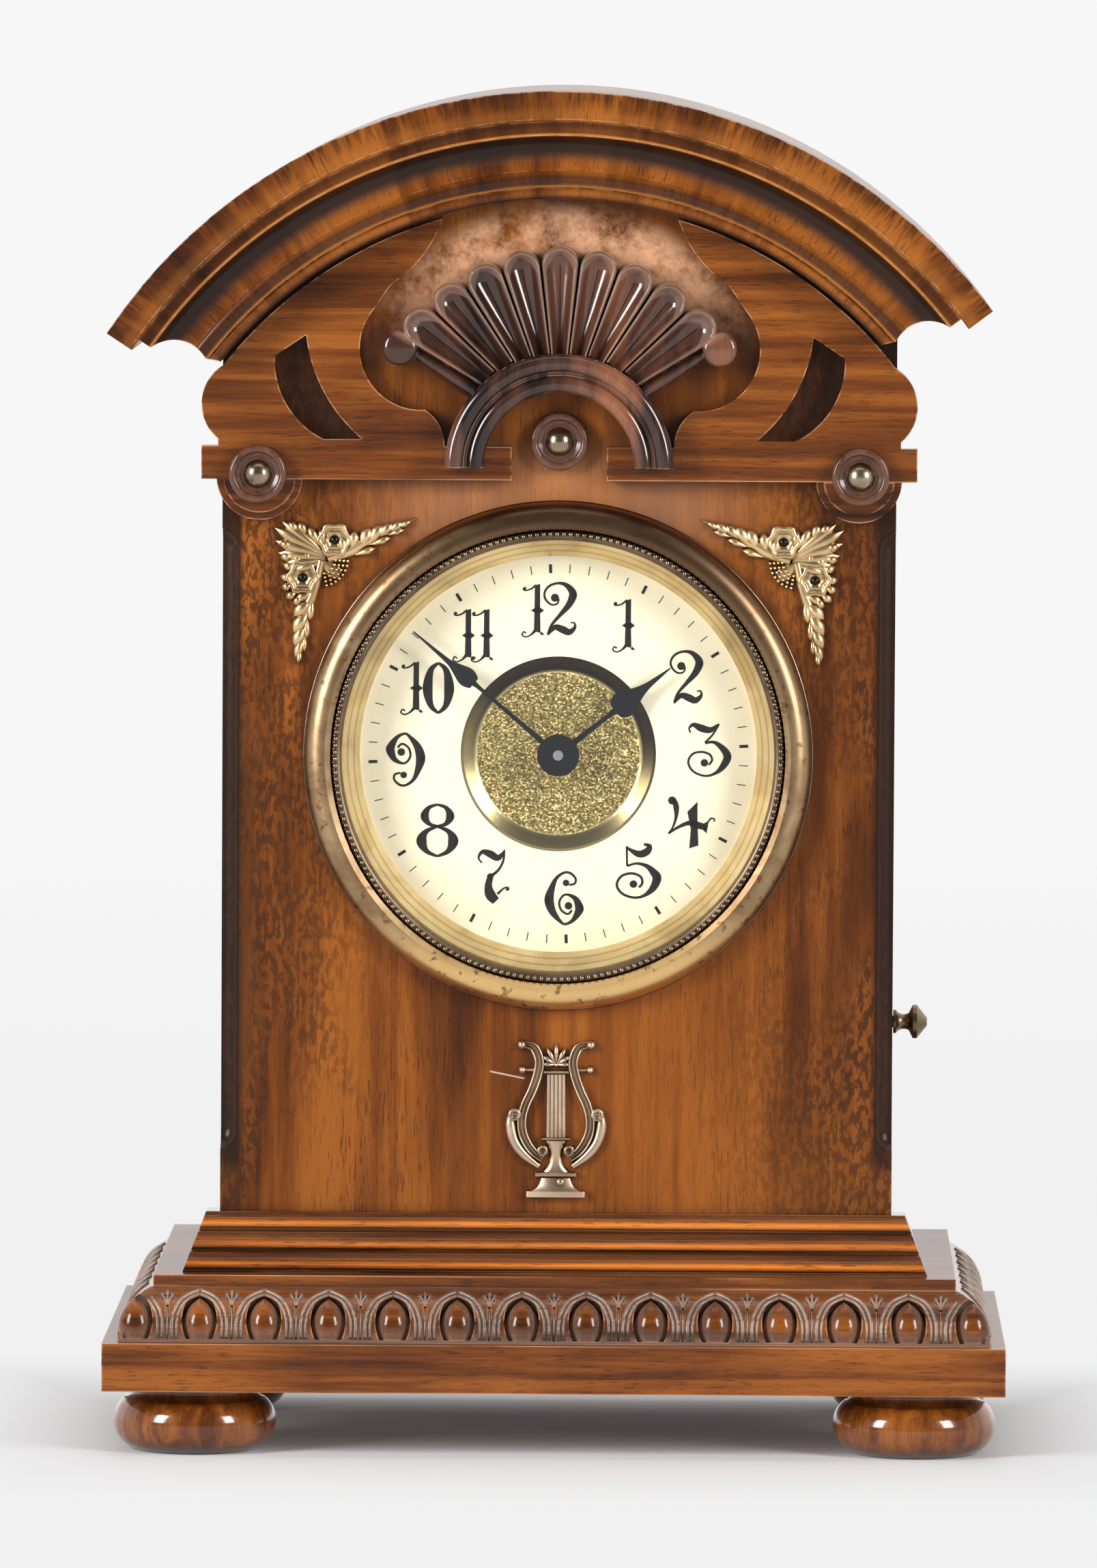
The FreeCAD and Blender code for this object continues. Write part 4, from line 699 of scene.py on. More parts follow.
studio()
lamp("left_lamp", (-1.55, -1.25, 0.85), width=0.55, height=1.0, power=39.0)
lamp("right_lamp", (1.65, -1.35, 0.90), width=0.55, height=1.0, power=35.0)
lamp("top_lamp", (0.0, 0.1, 1.9), width=1.6, height=1.6, power=10.0)
camera()
scene = bpy.context.scene
scene.view_settings.view_transform = "Standard"
scene.view_settings.look = "None"

# Relief and printing


def eased(points, steps=8):
    """Points along a smooth curve through the given ones."""
    ends = [points[0]] + list(points) + [points[-1]]
    path = []
    for index in range(1, len(ends) - 2):
        before, first, last, after = ends[index - 1:index + 3]
        for step in range(steps):
            t = step / steps
            path.append(tuple(0.5 * (2 * b + (c - a) * t + (2 * a - 5 * b + 4 * c - d) * t * t
                                     + (3 * b - a - 3 * c + d) * t ** 3)
                              for a, b, c, d in zip(before, first, last, after)))
    path.append(tuple(points[-1]))
    return path


def headings(path):
    """The direction at each point of a path, from its first two values."""
    last = len(path) - 1
    ends = [(path[max(index - 1, 0)], path[min(index + 1, last)]) for index in range(last + 1)]
    return [Vector((after[0] - before[0], after[1] - before[1])).normalized() for before, after in ends]


def circle(count, radius):
    """Evenly spaced points round a circle."""
    angles = [2 * math.pi * k / count for k in range(count)]
    return [(radius * math.cos(angle), radius * math.sin(angle)) for angle in angles]


def half_round(steps):
    """A half circle as across and rise points."""
    return [(math.cos(math.pi * k / steps), math.sin(math.pi * k / steps)) for k in range(steps + 1)]


class Relief:
    """Gathers raised pieces on a flat face. X runs right, Z up and rise towards the viewer, in metres."""

    def __init__(self, face_y):
        self.face_y = face_y
        self.verts = []
        self.faces = []

    def add(self, x, z, rise):
        """One point of the relief."""
        self.verts.append((x, self.face_y - rise, z))
        return len(self.verts) - 1

    def rows(self, rings, closed=False):
        """Join rows of points with quads."""
        for near, far in zip(rings, rings[1:]):
            count = len(near)
            for index in range(count if closed else count - 1):
                follow = (index + 1) % count
                self.faces.append((near[index], near[follow], far[follow], far[index]))

    def sweep(self, points, section, steps=8):
        """A moulded strip along x, z, half width and height points, with a section from -1 to 1 across."""
        path = eased(points, steps)
        rings = []
        for (x, z, half, height), along in zip(path, headings(path)):
            rings.append([self.add(x - along.y * across * half, z + along.x * across * half, height * rise)
                          for across, rise in section])
        self.rows(rings)

    def dome(self, x, z, radius, height, base=0.0, rings=6, around=14):
        """A raised button."""
        lifts = [math.pi / 2 * ring / rings for ring in range(rings + 1)]
        profile = [(radius * math.cos(lift), base + height * math.sin(lift)) for lift in lifts]
        self.turned(x, z, profile, around)

    def seed(self, x, z, way, length, half, height, base=0.0):
        """A leaf lobe: fat near its tip, thin at its root, lying in a direction given in degrees."""
        cosine = math.cos(math.radians(way))
        sine = math.sin(math.radians(way))
        steps = 10
        rings = []
        for step in range(steps + 1):
            t = step / steps
            along = length * t
            swell = math.sin(math.pi * t ** 1.35) ** 0.75 if 0 < t < 1 else 0.02
            broad = half * swell
            rings.append([self.add(x + along * cosine - across * broad * sine,
                                   z + along * sine + across * broad * cosine,
                                   base * (1 - 0.6 * t) + height * swell * rise + 0.0001)
                          for across, rise in half_round(8)])
        self.rows(rings)

    def turned(self, x, z, profile, around=28, waves=0, depth=0.0):
        """A round boss from radius and rise points, with an optional petalled edge."""
        rows = []
        for reach, rise in profile:
            ring = []
            for turn in range(around):
                angle = turn * 2 * math.pi / around
                out = reach * (1 + depth * math.cos(waves * angle))
                ring.append(self.add(x + out * math.cos(angle), z + out * math.sin(angle), rise))
            rows.append(ring)
        self.rows(rows, True)

    def made(self, name, key):
        """The finished object, joined and facing outwards."""
        piece = object_from(name, self.verts, self.faces, key)
        net = bmesh.new()
        net.from_mesh(piece.data)
        bmesh.ops.recalc_face_normals(net, faces=net.faces)
        net.to_mesh(piece.data)
        net.free()
        return piece


ROUND = half_round(10)
GROOVED = [(-1.0, 0.0), (-0.98, 0.55), (-0.86, 0.95), (-0.66, 0.90), (-0.48, 0.45), (-0.15, 0.28),
           (0.15, 0.28), (0.48, 0.45), (0.66, 0.90), (0.86, 0.95), (0.98, 0.55), (1.0, 0.0)]
FLAT = [(-1.0, 0.0), (-0.98, 0.85), (-0.90, 1.0), (0.90, 1.0), (0.98, 0.85), (1.0, 0.0)]
FLUTED = [(-1.0, 0.0)] + [(-1.0 + k / 10, 1.0 if k % 4 else 0.5) for k in range(21)] + [(1.0, 0.0)]


def lyre():
    """Stamped lyre: moulded foot, cup, fluted column, palmette, double-ridged arms, scrolls and pegs."""
    low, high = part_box("lyre_mount")
    middle = (low.x + high.x) / 2
    form = Relief(panel_face)

    def at(side, x, z, half, rise):
        return middle + side * x * MM, low.z + z * MM, half * MM, rise * MM

    def strip(side, section, steps, *points):
        form.sweep([at(side, *point) for point in points], section, steps)

    strip(1, FLAT, 2, (0, 0.0, 8.95, 2.6), (0, 1.7, 8.95, 2.6))
    strip(1, FLAT, 8, (0, 1.7, 7.4, 2.3), (0, 3.2, 5.4, 2.1), (0, 5.6, 4.4, 1.9))
    strip(1, ROUND, 3, (-6.0, 6.5, 1.0, 2.4), (6.0, 6.5, 1.0, 2.4))
    strip(1, ROUND, 8, (0, 7.2, 4.4, 1.7), (0, 9.4, 2.5, 1.6), (0, 12.4, 1.9, 1.6), (0, 14.8, 2.6, 1.9),
          (0, 16.6, 3.6, 2.1))
    strip(1, ROUND, 3, (-4.2, 17.2, 0.65, 2.6), (4.2, 17.2, 0.65, 2.6))
    strip(1, FLUTED, 4, (0, 17.7, 2.95, 1.9), (0, 36.2, 2.85, 1.9))
    strip(1, ROUND, 3, (-3.7, 36.9, 0.75, 2.4), (3.7, 36.9, 0.75, 2.4))
    root = at(1, 0, 39.0, 0.9, 1.6)
    form.dome(*root)
    for step in range(-3, 4):
        length = (6.4 - 0.55 * abs(step)) * MM
        form.seed(root[0], root[1], 90 - 29 * step, length, half=0.85 * MM, height=1.3 * MM, base=0.9 * MM)
    for side in (-1, 1):
        strip(side, GROOVED, 8, (9.3, 45.0, 0.9, 1.7), (6.6, 44.1, 1.35, 2.0), (5.0, 40.2, 1.45, 2.1),
              (5.5, 36.0, 1.45, 2.1), (7.1, 31.3, 1.4, 2.1), (9.1, 26.9, 1.4, 2.1), (10.1, 22.2, 1.4, 2.1),
              (9.5, 17.9, 1.4, 2.1), (7.2, 13.9, 1.3, 2.1), (4.0, 11.2, 1.0, 2.0))
        strip(side, ROUND, 8, (12.9, 25.2, 0.9, 1.6), (13.4, 21.4, 1.75, 1.9), (12.2, 16.2, 1.8, 1.9),
              (9.1, 12.1, 1.7, 1.9), (5.0, 8.9, 1.2, 1.8))
        for scroll in ((12.2, 24.3, 1.9), (3.9, 13.7, 1.6)):
            x, z, r, _ = at(side, *scroll, 0.0)
            form.turned(x, z, [(r, 0.0), (r, 0.0019), (r * 0.72, 0.0023), (r * 0.52, 0.0014),
                               (r * 0.34, 0.0016), (0.0001, 0.0021)], 18)
        form.dome(*at(side, 10.2, 44.9, 1.55, 2.4))
        form.dome(*at(side, 10.0, 37.5, 1.35, 2.3))
        strip(side, ROUND, 3, (9.2, 37.5, 0.6, 1.5), (6.4, 37.5, 0.75, 1.6))
    screw = at(1, 1.4, 4.4, 1.15, 0.8)
    form.dome(*screw, base=1.9 * MM)
    piece = form.made("lyre_relief", "lyre")
    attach(piece, "case")
    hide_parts("lyre_mount")


def corner(side, node):
    """Stamped corner leaf: two lobed sprays, a fan leaf, two open flowers on pins and a berry cluster."""
    low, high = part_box(node)
    outer = low.x if side < 0 else high.x
    form = Relief(panel_face)
    pins = Relief(panel_face)

    def at(u, v, *more):
        return (outer - side * u * MM, high.z - v * MM) + tuple(value * MM for value in more)

    def way(degrees):
        return degrees if side < 0 else 180 - degrees

    def spray(*lobes):
        for u, v, turn, length, half in lobes:
            form.seed(*at(u, v), way(turn), length * MM, half * MM, height=1.6 * MM, base=1.0 * MM)

    def strip(*points):
        form.sweep([at(*point) for point in points], ROUND)

    strip((14.5, 12.6, 1.5, 1.7), (20.9, 10.4, 2.0, 1.9), (25.2, 7.9, 1.9, 1.8), (29.8, 5.4, 1.7, 1.6),
          (34.4, 3.4, 1.2, 1.3), (40.3, 0.9, 0.4, 0.6))
    spray((19.4, 11.4, 100, 5.6, 1.5), (21.6, 10.6, 82, 6.4, 1.7), (24.0, 9.6, 64, 7.0, 1.9),
          (26.4, 8.2, 52, 7.2, 1.9), (29.2, 6.6, 44, 6.6, 1.7), (32.0, 5.0, 34, 6.0, 1.5),
          (35.0, 3.6, 28, 5.0, 1.1), (22.6, 11.6, 18, 6.6, 1.2), (27.2, 8.6, 20, 6.6, 1.2),
          (31.8, 5.8, 18, 6.0, 1.0))
    spray((14.6, 12.0, 143, 17.0, 1.8), (14.4, 12.0, 152, 17.4, 2.1), (14.2, 12.2, 163, 15.6, 2.2),
          (14.0, 12.6, 174, 14.0, 2.1), (14.0, 13.0, 186, 12.6, 1.9), (13.6, 13.4, 198, 10.0, 1.5),
          (8.4, 6.4, 118, 5.4, 1.4), (6.2, 5.4, 132, 5.0, 1.4), (4.6, 9.2, 168, 4.6, 1.4),
          (4.8, 11.8, 190, 4.4, 1.4), (12.2, 9.6, 118, 7.4, 1.5), (13.6, 9.0, 104, 5.6, 1.3))
    strip((12.6, 13.4, 1.4, 1.9), (11.9, 16.4, 1.5, 2.0), (11.1, 20.5, 1.6, 2.0), (9.8, 24.2, 1.8, 1.9),
          (8.2, 28.0, 1.7, 1.8), (7.3, 32.5, 1.5, 1.6), (6.9, 37.2, 1.1, 1.3), (5.7, 42.9, 0.4, 0.7))
    spray((10.4, 22.4, 206, 6.4, 1.5), (10.0, 24.6, 224, 7.6, 1.9), (9.0, 28.0, 236, 8.0, 2.0),
          (8.0, 32.0, 244, 7.4, 1.8), (7.4, 36.0, 250, 6.6, 1.5), (6.8, 39.4, 258, 4.4, 1.0),
          (10.2, 24.6, 262, 6.8, 1.3), (8.6, 30.0, 268, 6.6, 1.2), (7.8, 35.0, 270, 5.6, 1.0))
    spray((9.6, 14.2, 118, 4.6, 1.3), (7.6, 14.8, 136, 5.0, 1.4), (5.6, 16.2, 156, 4.8, 1.4),
          (4.6, 18.4, 178, 4.2, 1.4), (4.8, 20.4, 196, 4.2, 1.4), (5.8, 22.2, 214, 4.4, 1.4),
          (7.2, 23.2, 232, 4.4, 1.3))
    petals = 6
    flower = ((1.0, 0.2), (0.97, 1.6), (0.86, 2.4), (0.72, 2.1), (0.62, 1.4), (0.52, 1.2), (0.46, 1.7),
              (0.40, 1.5), (0.2, 1.2))
    for middle in ((16.5, 7.2, 5.2), (7.2, 18.4, 5.0)):
        x, z, r = at(*middle)
        form.turned(x, z, [(r * share, rise * MM) for share, rise in flower], 56, petals, 0.09)
        pins.dome(x, z, radius=1.3 * MM, height=1.2 * MM, base=1.2 * MM, around=18)
    for row, reach in enumerate((4.3, 5.5, 6.7, 7.9)):
        for step in range(5 + row):
            turn = math.radians(-4 - 74 * step / (4 + row))
            berry = at(12.6 + reach * math.cos(turn), 12.9 - reach * math.sin(turn), 0.62, 1.0)
            form.dome(*berry, base=0.5 * MM, rings=4, around=10)
    strip((13.2, 13.6, 1.2, 0.9), (16.2, 16.6, 2.6, 0.9), (18.0, 18.4, 0.8, 0.5))
    piece = form.made(node.replace("mount", "relief"), "gilt")
    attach(piece, "case")
    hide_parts(node)
    heads = pins.made(node.replace("mount", "pins"), "pins")
    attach(heads, "case")


def beads():
    """Row of small bright beads on the ring inside the bezel."""
    low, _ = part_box("bead_ring")
    count = 207
    reach = 65.5 * MM
    radius = 0.88 * MM
    height = 1.0 * MM
    sunk = 0.15 * MM
    form = Relief(low.y + sunk)
    for across, rise in circle(count, reach):
        form.dome(dial_x + across, dial_z + rise, radius, height, rings=5, around=12)
    piece = form.made("bezel_beads", "beads")
    lip = Relief(panel_face)
    size = 0.5 * MM
    edge = bezel_high.x - dial_x - 0.1 * MM
    lip.turned(dial_x, dial_z, [(edge + size, 0.0), (edge + size * 0.7, size * 0.9), (edge, size * 1.2),
                                (edge - size * 0.7, size * 0.9), (edge - size, 0.0)], 160)
    rim = lip.made("bezel_lip", "beads")
    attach(rim, "case")
    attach(piece, "case")


lyre()
corner(-1, "corner_mount_left")
corner(1, "corner_mount_right")
beads()


class Print:
    """Flat printing on the dial: pen strokes, dots and points, in small units about a centre."""

    def __init__(self, unit, rise):
        self.unit = unit
        self.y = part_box("dial_plate")[0].y - rise
        self.verts = []
        self.faces = []
        self.centre = (0.0, 0.0)
        self.sign = 1.0
        self.shift = 0

    def add(self, x, y):
        """One point of the printing."""
        self.verts.append((self.centre[0] + self.sign * (x + self.shift) * self.unit, self.y,
                           self.centre[1] + self.sign * y * self.unit))
        return len(self.verts) - 1

    def stroke(self, *points):
        """A pen line through x, y, width points."""
        path = eased(points, 7)
        rows = []
        for (x, y, width), along in zip(path, headings(path)):
            half = (max(width, PEN_LEAST) + PEN_SPREAD) / 2
            rows.append((self.add(x - along.y * half, y + along.x * half),
                         self.add(x + along.y * half, y - along.x * half)))
        for near, far in zip(rows, rows[1:]):
            self.faces.append((near[0], near[1], far[1], far[0]))

    def dot(self, x, y, radius):
        """A round end."""
        self.patch(*[(x + across, y + rise) for across, rise in circle(18, radius)])

    def patch(self, *points):
        """A straight-sided piece."""
        self.faces.append([self.add(*point) for point in points])


def draw_one(ink):
    """Figure one: spurred stem, curled flag and curled foot."""
    ink.patch((-9, 98), (12, 104), (12, 10), (14, -88), (-12, -82), (-10, 0))
    ink.patch((-24, 0), (-8, 10), (12, 12), (28, 0), (12, -12), (-8, -10))
    ink.stroke((-4, 100, 5), (-24, 84, 4), (-46, 78, 3), (-54, 84, 3), (-47, 91, 3))
    ink.dot(-48, 86, 6)
    ink.stroke((14, -88, 10), (26, -95, 3))
    ink.stroke((-8, -80, 10), (-24, -96, 4), (-44, -104, 3), (-58, -96, 3), (-52, -84, 3), (-42, -90, 3))


def draw_two(ink):
    """Figure two: curled ball, spurred shoulder and waved foot."""
    ink.dot(-22, 50, 16)
    ink.stroke((-6, 46, 4), (-14, 26, 4), (-38, 24, 5), (-60, 46, 6), (-62, 72, 6), (-44, 96, 7),
               (-12, 107, 7), (18, 102, 14), (42, 80, 24), (48, 58, 28), (32, 22, 22), (-4, -20, 12),
               (-34, -56, 8), (-48, -92, 8))
    ink.patch((46, 76), (66, 58), (46, 42))
    ink.stroke((-50, -96, 4), (-22, -66, 18), (8, -74, 26), (34, -84, 22), (56, -66, 10), (54, -48, 4),
               (40, -48, 3))


def draw_three(ink):
    """Figure three: waved top, thin diagonal and a bowl curling into a ball."""
    ink.stroke((-75, 68, 4), (-80, 86, 5), (-63, 99, 14), (-33, 86, 26), (2, 79, 20), (27, 96, 7),
               (37, 103, 3))
    ink.stroke((36, 101, 4), (12, 61, 5), (-18, 29, 6))
    ink.stroke((-18, 27, 6), (17, 31, 10), (52, 6, 22), (70, -26, 28), (52, -64, 22), (22, -91, 9),
               (-18, -101, 6), (-63, -84, 6), (-83, -49, 6), (-68, -17, 6), (-33, -7, 6), (0, -17, 6),
               (10, -39, 6), (-3, -58, 6))
    ink.patch((68, -8), (86, -26), (68, -46))
    ink.dot(-20, -50, 15)


def draw_four(ink):
    """Figure four: drop-ended arm, swelling bar with a curl, and a pointed stem."""
    ink.dot(-78, 84, 16)
    ink.stroke((-72, 92, 12), (-62, 60, 20), (-62, 20, 10), (-74, -20, 5), (-90, -44, 4))
    ink.stroke((-92, -46, 5), (-52, -20, 9), (-10, -4, 16), (30, -14, 24), (56, -22, 18))
    ink.patch((48, -4), (66, 4), (58, -44), (44, -32))
    ink.stroke((60, -4, 4), (74, 14, 4), (88, 12, 3), (86, 2, 3))
    ink.patch((22, 80), (22, 0), (26, -92), (-10, -104), (-4, -30), (-18, 40))


def draw_five(ink):
    """Figure five: hooked flag, thin upright and a bowl curling into a ball."""
    ink.stroke((-48, 94, 4), (-34, 82, 10), (2, 65, 24), (32, 75, 26), (42, 96, 16), (20, 104, 6))
    ink.stroke((-47, 96, 5), (-45, 18, 5))
    ink.stroke((-45, 18, 6), (-8, 28, 7), (32, 18, 14), (62, -10, 28), (72, -31, 32), (57, -68, 24),
               (22, -98, 10), (-18, -106, 7), (-63, -91, 7), (-85, -58, 7), (-68, -23, 7), (-28, -11, 7),
               (7, -23, 7), (15, -48, 7), (2, -66, 7))
    ink.patch((70, -10), (89, -31), (70, -54))
    ink.dot(-20, -53, 15)


def draw_six(ink):
    """Figure six: curled top, spurred back and a spurred bowl curling into a ball."""
    ink.dot(8, 62, 13)
    ink.stroke((20, 54, 5), (42, 60, 6), (45, 80, 6), (25, 100, 7), (0, 102, 7), (-30, 80, 11),
               (-48, 40, 22), (-58, -5, 34), (-45, -50, 26), (-15, -88, 11), (5, -100, 7), (35, -85, 13),
               (58, -50, 28), (60, -32, 30), (45, 0, 18), (15, 16, 7), (-5, 10, 6), (-18, -15, 6),
               (-10, -45, 6), (15, -60, 6), (32, -45, 6))
    ink.patch((-58, 18), (-76, -5), (-58, -28))
    ink.patch((62, -10), (78, -32), (62, -54))
    ink.dot(18, -28, 15)


def draw_seven(ink):
    """Figure seven: waved top, thin neck and a swelling foot with a curl."""
    ink.stroke((-48, 52, 4), (-61, 72, 5), (-46, 95, 14), (-16, 87, 26), (14, 72, 22), (36, 92, 8),
               (40, 104, 3))
    ink.stroke((40, 102, 4), (36, 62, 6), (19, 27, 7), (-6, 4, 9))
    ink.stroke((-12, 6, 20), (-22, -38, 26), (-14, -73, 38), (8, -98, 30))
    ink.patch((-30, 2), (-16, 12), (6, 8), (-12, -10))
    ink.stroke((14, -70, 8), (38, -48, 4), (54, -44, 4), (58, -54, 4))
    ink.dot(52, -52, 6)


def draw_eight(ink):
    """Figure eight: two loops with spurred sides."""
    for side in (-1, 1):
        ink.stroke((0, 103, 7), (side * 34, 90, 14), (side * 50, 57, 30), (side * 32, 27, 14), (0, 18, 7))
        ink.patch((side * 54, 76), (side * 64, 57), (side * 54, 38))
        ink.stroke((0, 17, 7), (side * 44, -3, 17), (side * 62, -40, 38), (side * 42, -80, 17), (0, -100, 7))
        ink.patch((side * 70, -18), (side * 83, -40), (side * 70, -62))


def draw_nought(ink):
    """Figure nought: narrow ring with spurred sides."""
    for side in (-1, 1):
        ink.stroke((0, 99, 7), (side * 30, 70, 20), (side * 42, 0, 36), (side * 30, -66, 20), (0, -98, 7))
        ink.patch((side * 50, 20), (side * 62, 0), (side * 50, -20))


def dial_print():
    """Twelve upright figures by angle and reach, sixty minute marks and twelve heavier hour marks."""
    ink = Print(FIGURE_UNIT, PRINT_RISE)
    figures = ((27.0, 42.7, ((draw_one, 12),)),
               (59.3, 43.9, ((draw_two, 0),)),
               (88.2, 44.6, ((draw_three, 0),)),
               (116.7, 44.2, ((draw_four, 0),)),
               (145.2, 41.8, ((draw_five, 0),)),
               (177.5, 42.8, ((draw_six, 0),)),
               (207.4, 40.8, ((draw_seven, 0),)),
               (237.2, 42.3, ((draw_eight, 0),)),
               (267.7, 45.0, ((draw_six, 0),)),
               (296.8, 42.6, ((draw_one, -54), (draw_nought, 34))),
               (324.5, 42.8, ((draw_one, -26), (draw_one, 46))),
               (356.5, 42.4, ((draw_one, -52), (draw_two, 40))))
    upside_down = 9
    for hour, (degrees, reach, digits) in enumerate(figures, 1):
        angle = math.radians(degrees)
        ink.centre = (dial_x + reach * MM * math.sin(angle), dial_z + reach * MM * math.cos(angle))
        ink.sign = -1.0 if hour == upside_down else 1.0
        for draw, shift in digits:
            ink.shift = shift
            draw(ink)
    ink.shift = 0
    ink.sign = 1.0
    ink.centre = (dial_x, dial_z)
    near = MARK_INNER / ink.unit
    far = MARK_OUTER / ink.unit
    for minute in range(60):
        half = (MARK_HALF if minute % 5 else HOUR_MARK_HALF) / ink.unit
        angle = math.radians(6 * minute + MARKS_TURN)
        sine = math.sin(angle)
        cosine = math.cos(angle)
        ink.patch(*[(sine * reach + cosine * side, cosine * reach - sine * side)
                    for reach, side in ((near, -half), (near, half), (far, half), (far, -half))])
    piece = object_from("dial_print", ink.verts, ink.faces, "print", False)
    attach(piece, "case")


dial_print()


def tube(form, points, radius, around=8):
    """A round bead along points in space, joined to the gathered piece."""
    rings = []
    for index, point in enumerate(points):
        along = (points[min(index + 1, len(points) - 1)] - points[max(index - 1, 0)]).normalized()
        other = Vector((0.0, 0.0, 1.0)) if abs(along.z) < 0.9 else Vector((1.0, 0.0, 0.0))
        side = along.cross(other).normalized()
        lift = side.cross(along)
        first = len(form.verts)
        ring = [point + side * across + lift * rise for across, rise in circle(around, radius)]
        form.verts.extend(tuple(place) for place in ring)
        rings.append(list(range(first, len(form.verts))))
    form.rows(rings, True)
    form.faces.append(rings[0])
    form.faces.append(rings[-1])


def moulding_reach(low, high):
    """Reach of the egg moulding in front of the step board, as heights and distances."""
    node = nodes["egg_moulding_front"]
    back = node.matrix_world.inverted()
    step_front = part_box("step_board")[0].y
    flank = 0.0164
    steps = 40
    found = []
    for step in range(steps + 1):
        height = low.z + (high.z - low.z) * (0.06 + 0.90 * step / steps)
        start = back @ Vector((flank, low.y - 0.05, height))
        hit, place, _, _ = node.ray_cast(start, Vector((0.0, 1.0, 0.0)))
        if hit:
            found.append((height, step_front - (node.matrix_world @ place).y))
    return found


def egg_rims():
    """Two arched rims round each egg and a three-lobed dart between neighbours, on the front and sides."""
    low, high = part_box("egg_moulding_front")
    step_low, step_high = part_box("step_board")
    profile = moulding_reach(low, high)
    row_x = step_high.x + EGG_OUT
    row_y = step_low.y - EGG_OUT
    pitch = 2 * row_x / (EGG_COUNT - 1)

    def reach(height):
        for near, far in zip(profile, profile[1:]):
            if height <= far[0]:
                share = max(0.0, (height - near[0]) / (far[0] - near[0]))
                return near[1] + (far[1] - near[1]) * share
        return profile[-1][1]

    def spot(face, along, rise):
        height = low.z + rise * MM
        if face == "front":
            return Vector((along, step_low.y - reach(height), height))
        sign = 1 if face == "right" else -1
        return Vector((sign * (step_high.x + reach(height)), along, height))

    rims = ((((7.9, 1.2), (8.1, 5.0), (7.4, 9.0), (4.8, 12.6), (0.0, 14.6)), 0.6),
            (((6.5, 1.2), (6.7, 5.0), (6.0, 8.8), (3.8, 11.9), (0.0, 13.5)), 0.45))
    def bead(form, face, middle, path, thick):
        tube(form, [spot(face, middle + across * MM, rise) for across, rise in path], thick * MM)

    for face in ("front", "left", "right"):
        form = Relief(0.0)
        if face == "front":
            centres = [-row_x + pitch * index for index in range(EGG_COUNT)]
        else:
            centres = [row_y + pitch * (index + 1) for index in range(SIDE_EGG_COUNT)]
        for index, centre in enumerate(centres):
            corner_egg = face == "front" and index in (0, EGG_COUNT - 1)
            for rim, thick in rims:
                for way in (-1, 1):
                    if corner_egg and way * centre > 0:
                        continue
                    path = eased(rim[:4] if corner_egg else rim, 4)
                    bead(form, face, centre, [(way * across, rise) for across, rise in path], thick)
        for near, far in zip(centres, centres[1:]):
            gap = (near + far) / 2
            for lean in (-1.7, 0.0, 1.7):
                path = ((0.0, 10.6), (lean * 0.4, 12.0), (lean, 13.6 if lean else 14.6))
                bead(form, face, gap, eased(path, 3), 0.5)
            bead(form, face, gap, [(0.0, rise) for rise in (1.2, 4.0, 7.0, 10.0)], 0.3)
        piece = form.made("egg_moulding_" + face + "_rims", "rims")
        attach(piece, "case")


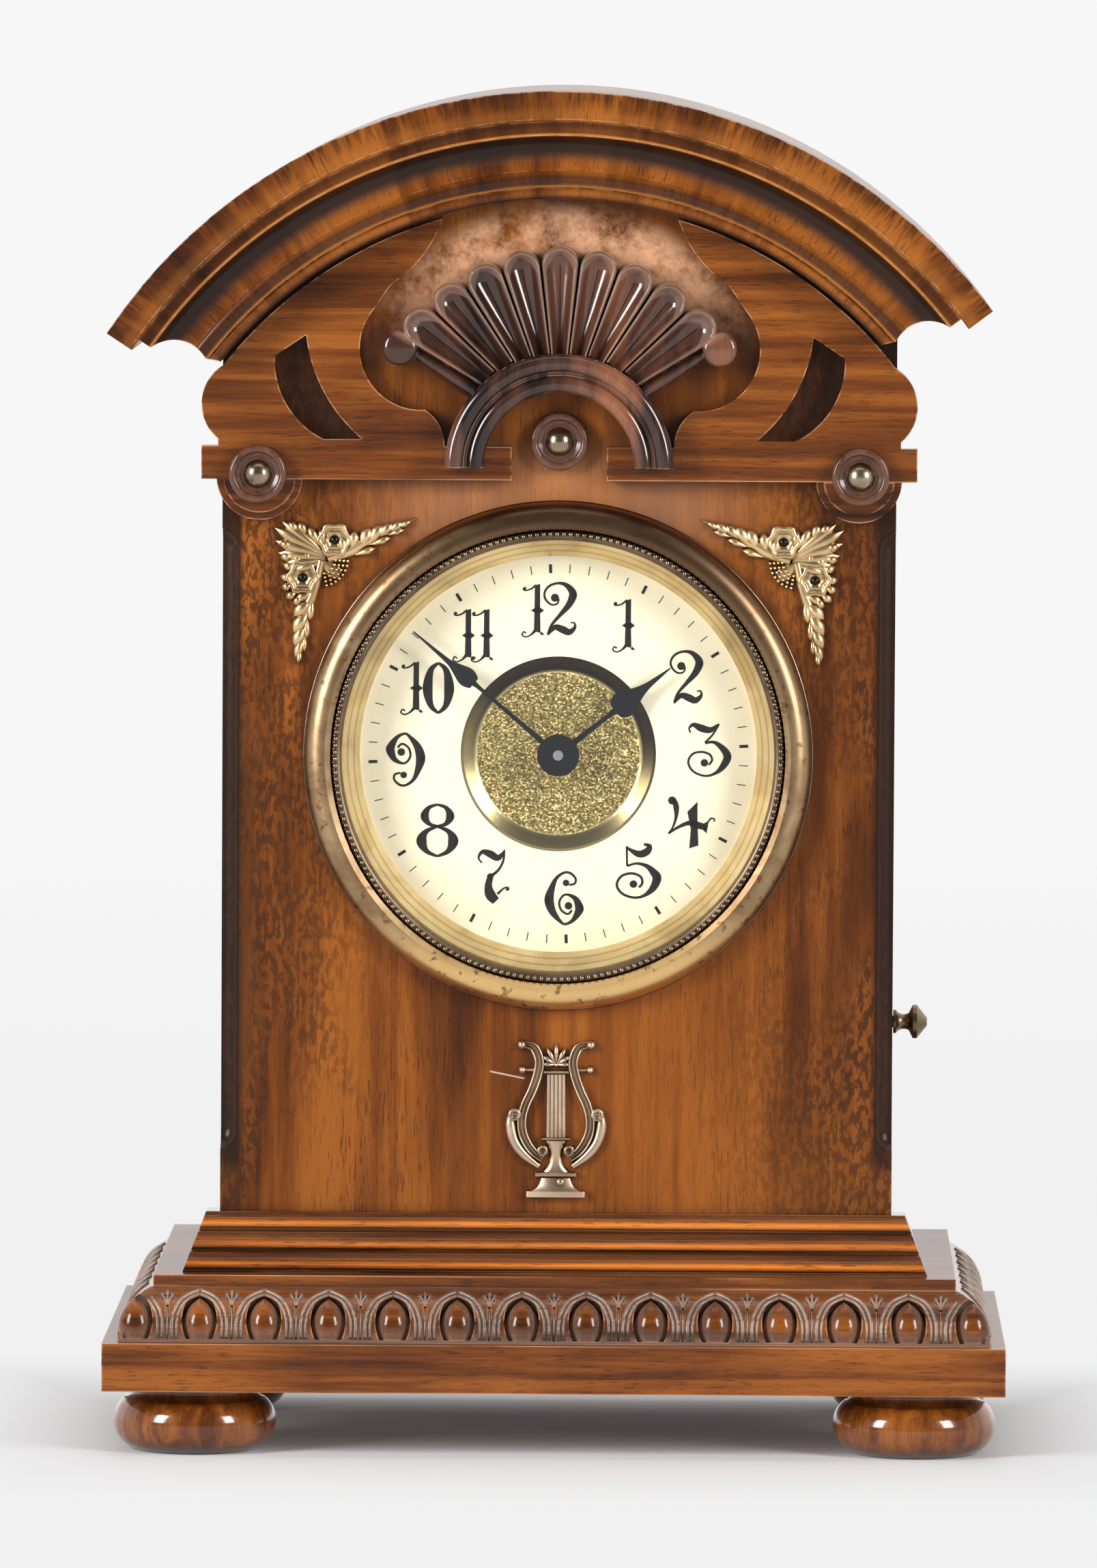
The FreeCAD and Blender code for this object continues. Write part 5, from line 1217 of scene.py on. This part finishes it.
def fan():
    """Carved fan: nine hollowed petals with rolled rims, two round stems and a turned knob on each."""
    ring_low, ring_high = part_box("shell_ring")
    low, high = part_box("shell_fan")
    middle = (ring_low.x + ring_high.x) / 2
    centre_z = ring_high.z - FAN_RING + FAN_RISE
    deep = high.y - low.y
    form = Relief(high.y)

    def start(angle):
        return math.sqrt(FAN_RING ** 2 - (FAN_RISE * math.sin(angle)) ** 2) - FAN_RISE * math.cos(angle)

    def spot(angle, along, across, rise):
        x = middle + along * math.sin(angle) + across * math.cos(angle)
        z = centre_z + along * math.cos(angle) - across * math.sin(angle)
        return form.add(x, z, rise)

    def petal(angle, tip, spread, levels):
        """One petal from its outline inwards, as share of width and share of depth pairs."""
        slope = math.tan(spread)
        near = start(angle) - 0.1 * MM
        broad = tip * slope / (1 + slope)
        bend = tip - broad
        flank = [near + (bend - near) * step / 8 for step in range(9)]
        rings = []
        for share, level in levels:
            wide = share * broad
            outline = [(along, -share * along * slope) for along in flank]
            outline += [(bend + wide * rise, -wide * across) for across, rise in half_round(16)[1:-1]]
            outline += [(along, share * along * slope) for along in reversed(flank)]
            rings.append([spot(angle, along, across, level * deep) for along, across in outline])
        form.rows(rings)

    hollow = ((1.0, 0.0), (0.998, 0.62), (0.975, 0.84), (0.92, 0.96), (0.84, 1.0), (0.74, 0.95),
              (0.62, 0.85), (0.42, 0.76), (0.20, 0.71), (0.02, 0.69))
    reach = 54.5
    longer = (0.0, 0.0, 0.0, 0.7, 2.0)
    spread = FAN_PITCH * 0.497
    for index in range(-4, 5):
        petal(index * FAN_PITCH, (reach + longer[abs(index)]) * MM, spread, hollow)
    knob = 5.2 * MM
    knob_rise = 24.5 * MM
    stem_turn = math.radians(64.0)
    for side in (-1, 1):
        angle = side * stem_turn
        x = low.x + knob if side < 0 else high.x - knob
        z = centre_z + knob_rise
        near = start(angle)
        foot_x = middle + near * math.sin(angle)
        foot_z = centre_z + near * math.cos(angle)
        form.sweep([(foot_x, foot_z, 3.4 * MM, deep * 0.86),
                    (foot_x * 0.55 + x * 0.45, foot_z * 0.55 + z * 0.45 + 0.6 * MM, 3.2 * MM, deep * 0.84),
                    (x - side * 3.0 * MM, z - 0.4 * MM, 2.6 * MM, deep * 0.78)], ROUND)
        form.turned(x, z, [(knob, 0.0), (knob, deep * 0.80), (knob * 0.93, deep * 0.92),
                           (knob * 0.80, deep * 0.97), (knob * 0.4, deep), (0.00005, deep)], 32)
    piece = form.made("fan_relief", "fan")
    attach(piece, "case")
    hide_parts("shell_fan")


bpy.context.view_layer.update()
egg_rims()
fan()


def clock_hand(node, body, degrees, outline, hub):
    """Flat black hand: a round hub, a thin stem, a leaf and a long point, given as reach and half width."""
    low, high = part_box(node)
    angle = math.radians(degrees)
    sine = math.sin(angle)
    cosine = math.cos(angle)
    path = eased(outline, 5)
    verts = []
    faces = []

    def layer(points, y):
        first = len(verts)
        for along, across in points:
            verts.append((dial_x + (along * sine + across * cosine) * MM, y,
                          dial_z + (along * cosine - across * sine) * MM))
        return list(range(first, len(verts)))

    def solid(points):
        front = layer(points, low.y)
        back = layer(points, high.y)
        count = len(points)
        faces.append(front)
        faces.append(back[::-1])
        for k in range(count):
            follow = (k + 1) % count
            faces.append((front[k], back[k], back[follow], front[follow]))

    for (near, broad), (far, narrow) in zip(path, path[1:]):
        solid([(near, broad), (far, narrow), (far, -narrow), (near, -broad)])
    solid(circle(40, hub))
    piece = object_from(node + "_leaf", verts, faces, "black", False)
    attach(piece, body)
    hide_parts(node)


clock_hand("minute_hand", "centre", -49.8,
           ((4.0, 0.85), (18.0, 0.65), (31.5, 0.65), (32.6, 1.9), (34.6, 2.75), (36.4, 2.7), (39.0, 1.8),
            (41.2, 1.05), (44.0, 0.68), (56.0, 0.18)), hub=6.1)
clock_hand("hour_hand", "hour", 52.0,
           ((4.0, 0.95), (12.0, 0.80), (20.3, 0.80), (21.4, 2.6), (23.3, 3.8), (25.2, 3.9), (27.6, 2.9),
            (30.2, 1.8), (33.0, 1.05), (36.0, 0.70), (41.7, 0.2)), hub=5.0)
